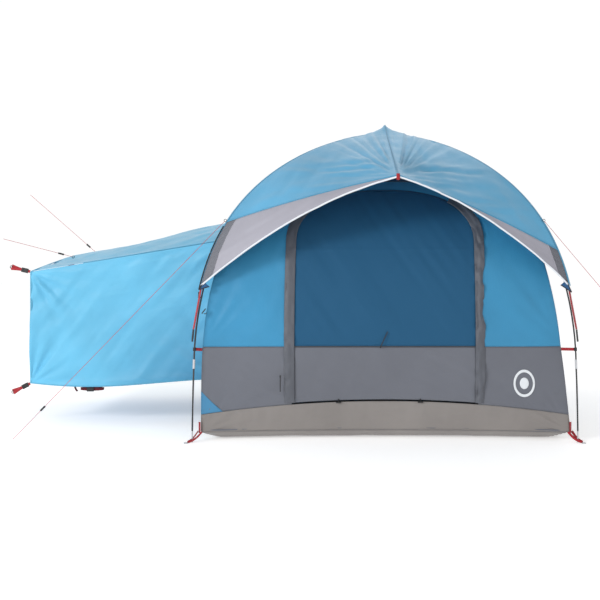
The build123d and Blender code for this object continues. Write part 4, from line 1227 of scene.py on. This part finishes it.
def loose_parts(node):
    """Each separate solid of a node: its vertices and its long, middle and short axes with their lengths."""
    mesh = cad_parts[node].data
    co = np.empty(len(mesh.vertices) * 3)
    mesh.vertices.foreach_get("co", co)
    co = co.reshape(-1, 3)
    places, index = np.unique(np.round(co, 5), axis=0, return_inverse=True)
    index = np.ravel(index)
    group = np.arange(len(places))
    edges = np.empty(len(mesh.edges) * 2, dtype=np.int64)
    mesh.edges.foreach_get("vertices", edges)
    pairs = index[edges.reshape(-1, 2)]
    while True:
        least = np.minimum(group[pairs[:, 0]], group[pairs[:, 1]])
        new = group.copy()
        np.minimum.at(new, pairs[:, 0], least)
        np.minimum.at(new, pairs[:, 1], least)
        new = new[new]
        if np.array_equal(new, group):
            break
        group = new
    parts = []
    for g in np.unique(group):
        points = places[group == g]
        centre = (points.min(axis=0) + points.max(axis=0)) / 2
        centre = points.mean(axis=0) if len(points) == 8 else centre
        _, _, axes = np.linalg.svd(points - points.mean(axis=0), full_matrices=False)
        spread = (points - centre) @ axes.T
        sizes = spread.max(axis=0) - spread.min(axis=0)
        order = np.argsort(-sizes)
        parts.append((centre, axes[order], sizes[order]))
    return parts


def webbing_on(node, colour, thickness=0.0020, bulge=0.0):
    """Woven straps in the places of a node's solids."""
    for k, (centre, axes, sizes) in enumerate(loose_parts(node)):
        along, side, flat = axes
        t = np.linspace(-0.5, 0.5, 20)[:, None]
        path = centre + along * sizes[0] * t + flat * bulge * np.cos(math.pi * t)
        made = ribbon(f"{node}_strap_{k}", path, side, sizes[1], paints[colour], thickness=thickness)
        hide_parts(node)
        for end in (-0.36, 0.36):
            bar = centre + along * sizes[0] * end
            across = np.linspace(-0.4, 0.4, 5)[:, None] * side * sizes[1] + bar
            name = f"{node}_stitch_{k}_{'low' if end < 0 else 'high'}"
            ribbon(name, across, along, 0.003, paints["thread"], thickness=thickness + 0.0006, cross=2)


def paint_node(material, *names):
    for name in names:
        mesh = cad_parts[name].data
        mesh.materials.clear()
        mesh.materials.append(paints[material])


def fittings():
    paint_node("pole", "pole_legs", "pole_sections", "brow_pole")
    paint_node("silver", "pole_ferrules")
    paint_node("steel", "pole_foot_tips", "corner_rings")
    paint_node("elastic", "shock_cords")
    paint_node("black", "wall_clips", "fly_corner_hooks", "sleeve_sockets")
    paint_node("black", "guy_loops", "crossing_tie", "lantern_loop")
    for name in ("front_left", "front_right", "sleeve_front", "sleeve_back"):
        paint_node("black", f"runner_{name}")
    paint_node("zip", "window_slider", "door_slider")
    foot_webbing()
    clip_tabs()
    webbing_on("fly_corner_straps", "red")
    webbing_on("sleeve_tabs", "red")
    buckle_straps()
    hanging_straps()
    pole_hooks()
    shaded_fly_corners()


CORNER_SIGNS = ((-1, -1), (1, -1), (1, 1), (-1, 1))


def foot_webbing():
    """At each pole foot a strap runs from the rim's corner to the ring, with an end sewn up the corner."""
    for k, (sx, sy) in enumerate(CORNER_SIGNS):
        out, across = unit(sx, sy, 0.0), unit(-sy, sx, 0.0)
        corner = np.array([sx, sy, 0.0]) * (half(RIM_BOTTOM, -WALL_GAP) + 0.004)
        ring = np.array([sx, sy, 0.0]) * 1.27813
        for side in (-1, 1):
            start = corner + np.array([0, 0, 0.062]) + across * 0.022 * side
            end = ring - out * 0.012 + np.array([0, 0, 0.007]) + across * 0.004 * side
            t = np.linspace(0, 1, 24)[:, None]
            path = start * (1 - t) + end * t - np.array([0, 0, 0.012]) * np.sin(math.pi * t)
            lean = unit(across * 0.35 + np.array([0, 0, 1.0]))
            made = ribbon(f"foot_strap_{k}_{side}", path, lean, 0.016, paints["red"], thickness=0.002)
            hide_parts("corner_webbing")
        up = np.array([corner + np.array([0, 0, h]) + out * 0.004 for h in np.linspace(0.052, 0.125, 10)])
        ribbon(f"foot_strap_up_{k}", up, across, 0.020, paints["red"], thickness=0.002)


def clip_tabs():
    """Red tabs from the walls' corner seams to the clips on the poles."""
    for k, (centre, axes, sizes) in enumerate(loose_parts("clip_tabs")):
        sx, sy, z = np.sign(centre[0]), np.sign(centre[1]), centre[2]
        out = unit(sx, sy, 0.0)
        along = axes[0] * np.sign(axes[0] @ out)
        outer = centre + along * sizes[0] / 2
        seam = half(z, -WALL_GAP) - corner_inset(z, CORNER_SIGNS.index((sx, sy)))
        inner = np.array([sx * seam, sy * seam, z - 0.004]) + out * 0.002
        t = np.linspace(0, 1, 10)[:, None]
        path = inner * (1 - t) + outer * t
        made = ribbon(f"clip_tab_{k}", path, (0, 0, 1), 0.020, paints["red"], thickness=0.002)
        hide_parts("clip_tabs")


def buckle_straps():
    """Side release buckles of the sleeve: black plugs with doubled red straps that end in a hook ring."""
    for side_name, side in (("front", -1), ("back", 1)):
        for level, slope in (("top", 0.24), ("low", -0.5)):
            name = f"{level}_{side_name}"
            z = SLEEVE_HIGH_OUT if level == "top" else SLEEVE_LOW_OUT
            along = unit(-1.0, 0.0, slope)
            corner = np.array([-SLEEVE_LENGTH, side * SLEEVE_HALF_OUT, z])
            deep, wide = np.array([0.0, 1.0, 0.0]), unit(np.cross((0, 1, 0), along))
            body = f"plug_{name}"
            axes = (along, wide, deep)
            base = block(f"plug_base_{name}", corner + along * 0.0575, axes, (0.012, 0.032, 0.0092),
                         paints["black"], body)
            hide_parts(f"sleeve_plug_{name}")
            for k, (offset, width) in enumerate(((0.0, 0.010), (-0.0105, 0.0045), (0.0105, 0.0045))):
                place = corner + along * 0.0355 + wide * offset
                block(f"plug_prong_{name}_{k}", place, axes, (0.030, width, 0.0044), paints["black"], body)
            t = np.linspace(0, 1, 20)[:, None]
            for k in (-1, 1):
                path = corner + along * (0.062 + 0.076 * t) + wide * k * 0.011 * t**1.3 + deep * k * 0.0014
                ribbon(f"plug_strap_{name}_{k}", path, wide, 0.020, paints["red"], body, thickness=0.002)
            a = np.linspace(0, 2 * math.pi, 33)[:, None]
            ring = corner + along * (0.1385 + np.cos(a) * 0.0095) + wide * np.sin(a) * 0.0095
            tube(f"plug_hook_{name}", ring, 0.0022, paints["black"], body)


def hanging_straps():
    """Loose strap ends: one hangs at the sleeve's mouth, one is bundled under its floor."""
    t = np.linspace(0, 1, 40)[:, None]
    top = np.array([-2.548, -0.30, 0.785])
    path = top + np.array([0.0, 0.0, -0.235]) * t + np.array([-0.012, 0.0, 0.0]) * np.sin(t * 9) * t
    points = path[:, None] + np.array([[0, -0.010, 0], [0, 0, 0], [0, 0.010, 0]])[None]
    cloth("mouth_strap_end", points, paints["red"], away=(0, 0, 0.7), thickness=0.0018)
    axes = ((0, 1, 0), (0, 0, 1), (1, 0, 0))
    for name, k, size in (("slider", 9, (0.030, 0.034, 0.008)), ("buckle", 33, (0.028, 0.040, 0.009))):
        block(f"mouth_strap_{name}", path[k] + np.array([-0.003, 0, 0]), axes, size, paints["black"])
    a = np.linspace(0, 5 * math.pi, 120)[:, None]
    centre = np.array([-2.10, -0.585, 0.248])
    turns = [0.080 * np.cos(a), 0.010 * np.sin(a * 0.37), 0.006 * np.sin(a) + 0.001 * a / 5]
    coil = centre + np.concatenate(turns, axis=1)
    ribbon("floor_strap_bundle", coil, (0.0, 0.25, 1.0), 0.016, paints["dark_red"], thickness=0.002)
    block("floor_strap_buckle", centre + np.array([-0.01, -0.016, -0.002]), ((1, 0, 0), (0, 0, 1), (0, 1, 0)),
          (0.050, 0.028, 0.009), paints["black"])
    fall = ((-2.225, -0.590, 0.275), (-2.222, -0.592, 0.262), (-2.216, -0.592, 0.246), (-2.205, -0.590, 0.232))
    ribbon("floor_strap_end", along_path(fall, 16), (0.3, 1.0, 0.0), 0.020, paints["dark_red"], thickness=0.002)


def pole_hooks():
    """Two small black hooks beside the front left pole, above its clip."""
    for k, (z, inward, lean) in enumerate(((0.950, -0.022, 0.05), (0.845, 0.030, 0.75))):
        w = half(z, 0.0)
        centre = np.array([-w + inward, -w + 0.004, z])
        along = unit(lean, 0.0, 1.0)
        axes = (along, (0, 1, 0), (1, 0, -lean))
        block(f"pole_hook_{k}", centre, axes, (0.042, 0.010, 0.007), paints["black"], bevel=0.003)
        tip = np.array([[0.0, 0.0, -0.5], [0.35, 0.0, -0.62], [0.6, 0.0, -0.35]]) * 0.03 + centre
        tube(f"pole_hook_tip_{k}", along_path(tip, 12), 0.0026, paints["black"])


def shaded_fly_corners():
    """Navy pieces where the fly's sides come round the front poles, bound in black: the navy is painted shade of
    the blue fly's corner there.
    """
    for name, sign, top_z, low_z in (("left", -1, 1.035, 0.985), ("right", 1, 1.046, 0.968)):
        w = half(1.03, FLY_GAP)
        top = np.array([sign * (w - 0.018), -w - 0.006, top_z])
        inner = np.array([sign * (w - 0.055), -w - 0.002, top_z - 0.030])
        low = np.array([sign * (half(low_z, FLY_GAP) + 0.002), -half(low_z, FLY_GAP) - 0.004, low_z])
        s, t = np.linspace(0, 1, 10)[None, :, None], np.linspace(0, 1, 14)[:, None, None]
        points = (top * (1 - s) + inner * s) * (1 - t) + low * t
        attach(grid_mesh(f"fly_shade_piece_{name}", points, paints["fly_shade_navy"], 0.0012), "tent")
        tube(f"fly_shade_piece_{name}_inner_binding", points[:, -1], 0.0034, paints["binding"])
        tube(f"fly_shade_piece_{name}_outer_binding", points[:, 0], 0.0034, paints["binding"])


def small_pieces():
    """Apex tag, door toggles, corner patch and plain badge."""
    tag = np.array([APEX + np.array([0.0, -0.004, 0.012 - 0.040 * k]) for k in np.linspace(0, 1, 8)])
    ribbon("apex_tag", tag, (1.0, 0.0, 0.0), 0.022, paints["red"], thickness=0.004)
    for k, x in enumerate((-0.305, 0.232)):
        z = float(rim_top(np.array(x))) + 0.004
        at = wall_points(np.array(x), np.array(z))
        place, axes = at + np.array([0, -0.008, -0.006]), ((1, 0, 0), (0, 0, 1), (0, 1, 0))
        block(f"door_toggle_{k}", place, axes, (0.034, 0.010, 0.008), paints["black"], bevel=0.003)
        loop = np.array([at + np.array([0.0, -0.004, 0.016 - 0.022 * q]) for q in np.linspace(0, 1, 6)])
        ribbon(f"door_toggle_loop_{k}", loop, (1.0, 0.0, 0.0), 0.008, paints["black_web"], thickness=0.002)
    patch = []
    for q in np.linspace(0, 1, 14):
        edge = half(0.205 + 0.115 * q, 0.0025 - WALL_GAP) - 0.002
        xs = -edge + (0.135 * (1 - q) + 0.004) * np.linspace(0, 1, 12)
        low = rim_top(xs) + 0.002
        patch.append(wall_points(xs, low + (0.320 - low) * q, 0.0025 - WALL_GAP))
    patch = np.array(patch)
    made = grid_mesh("corner_patch", patch, paints["patch"], 0.0012)
    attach(made, "tent")
    a = np.linspace(0, 2 * math.pi, 73)
    for name, inner_size, outer_size in (("badge_ring", 0.80, 1.0), ("badge_centre", 0.0, 0.42)):
        r = np.linspace(inner_size, outer_size, 5)[:, None]
        x = 0.912 + 0.072 * r * np.cos(a)[None]
        z = 0.372 + 0.090 * r * np.sin(a)[None]
        made = grid_mesh(name, wall_points(x, z, 0.005 - WALL_GAP), paints["badge"], 0.0010)
        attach(made, "tent")


make_camera()
make_studio()
paints = make_materials()
for line_name in ("front_left", "front_right", "sleeve_front", "sleeve_back"):
    make_guy(line_name)
front_wall()
side_panels()
groundsheet()
seam_tapes()
front_door()
fly_gores()
visor()
fly_seams()
sleeve()
storm_flaps()
zips()
fittings()
small_pieces()
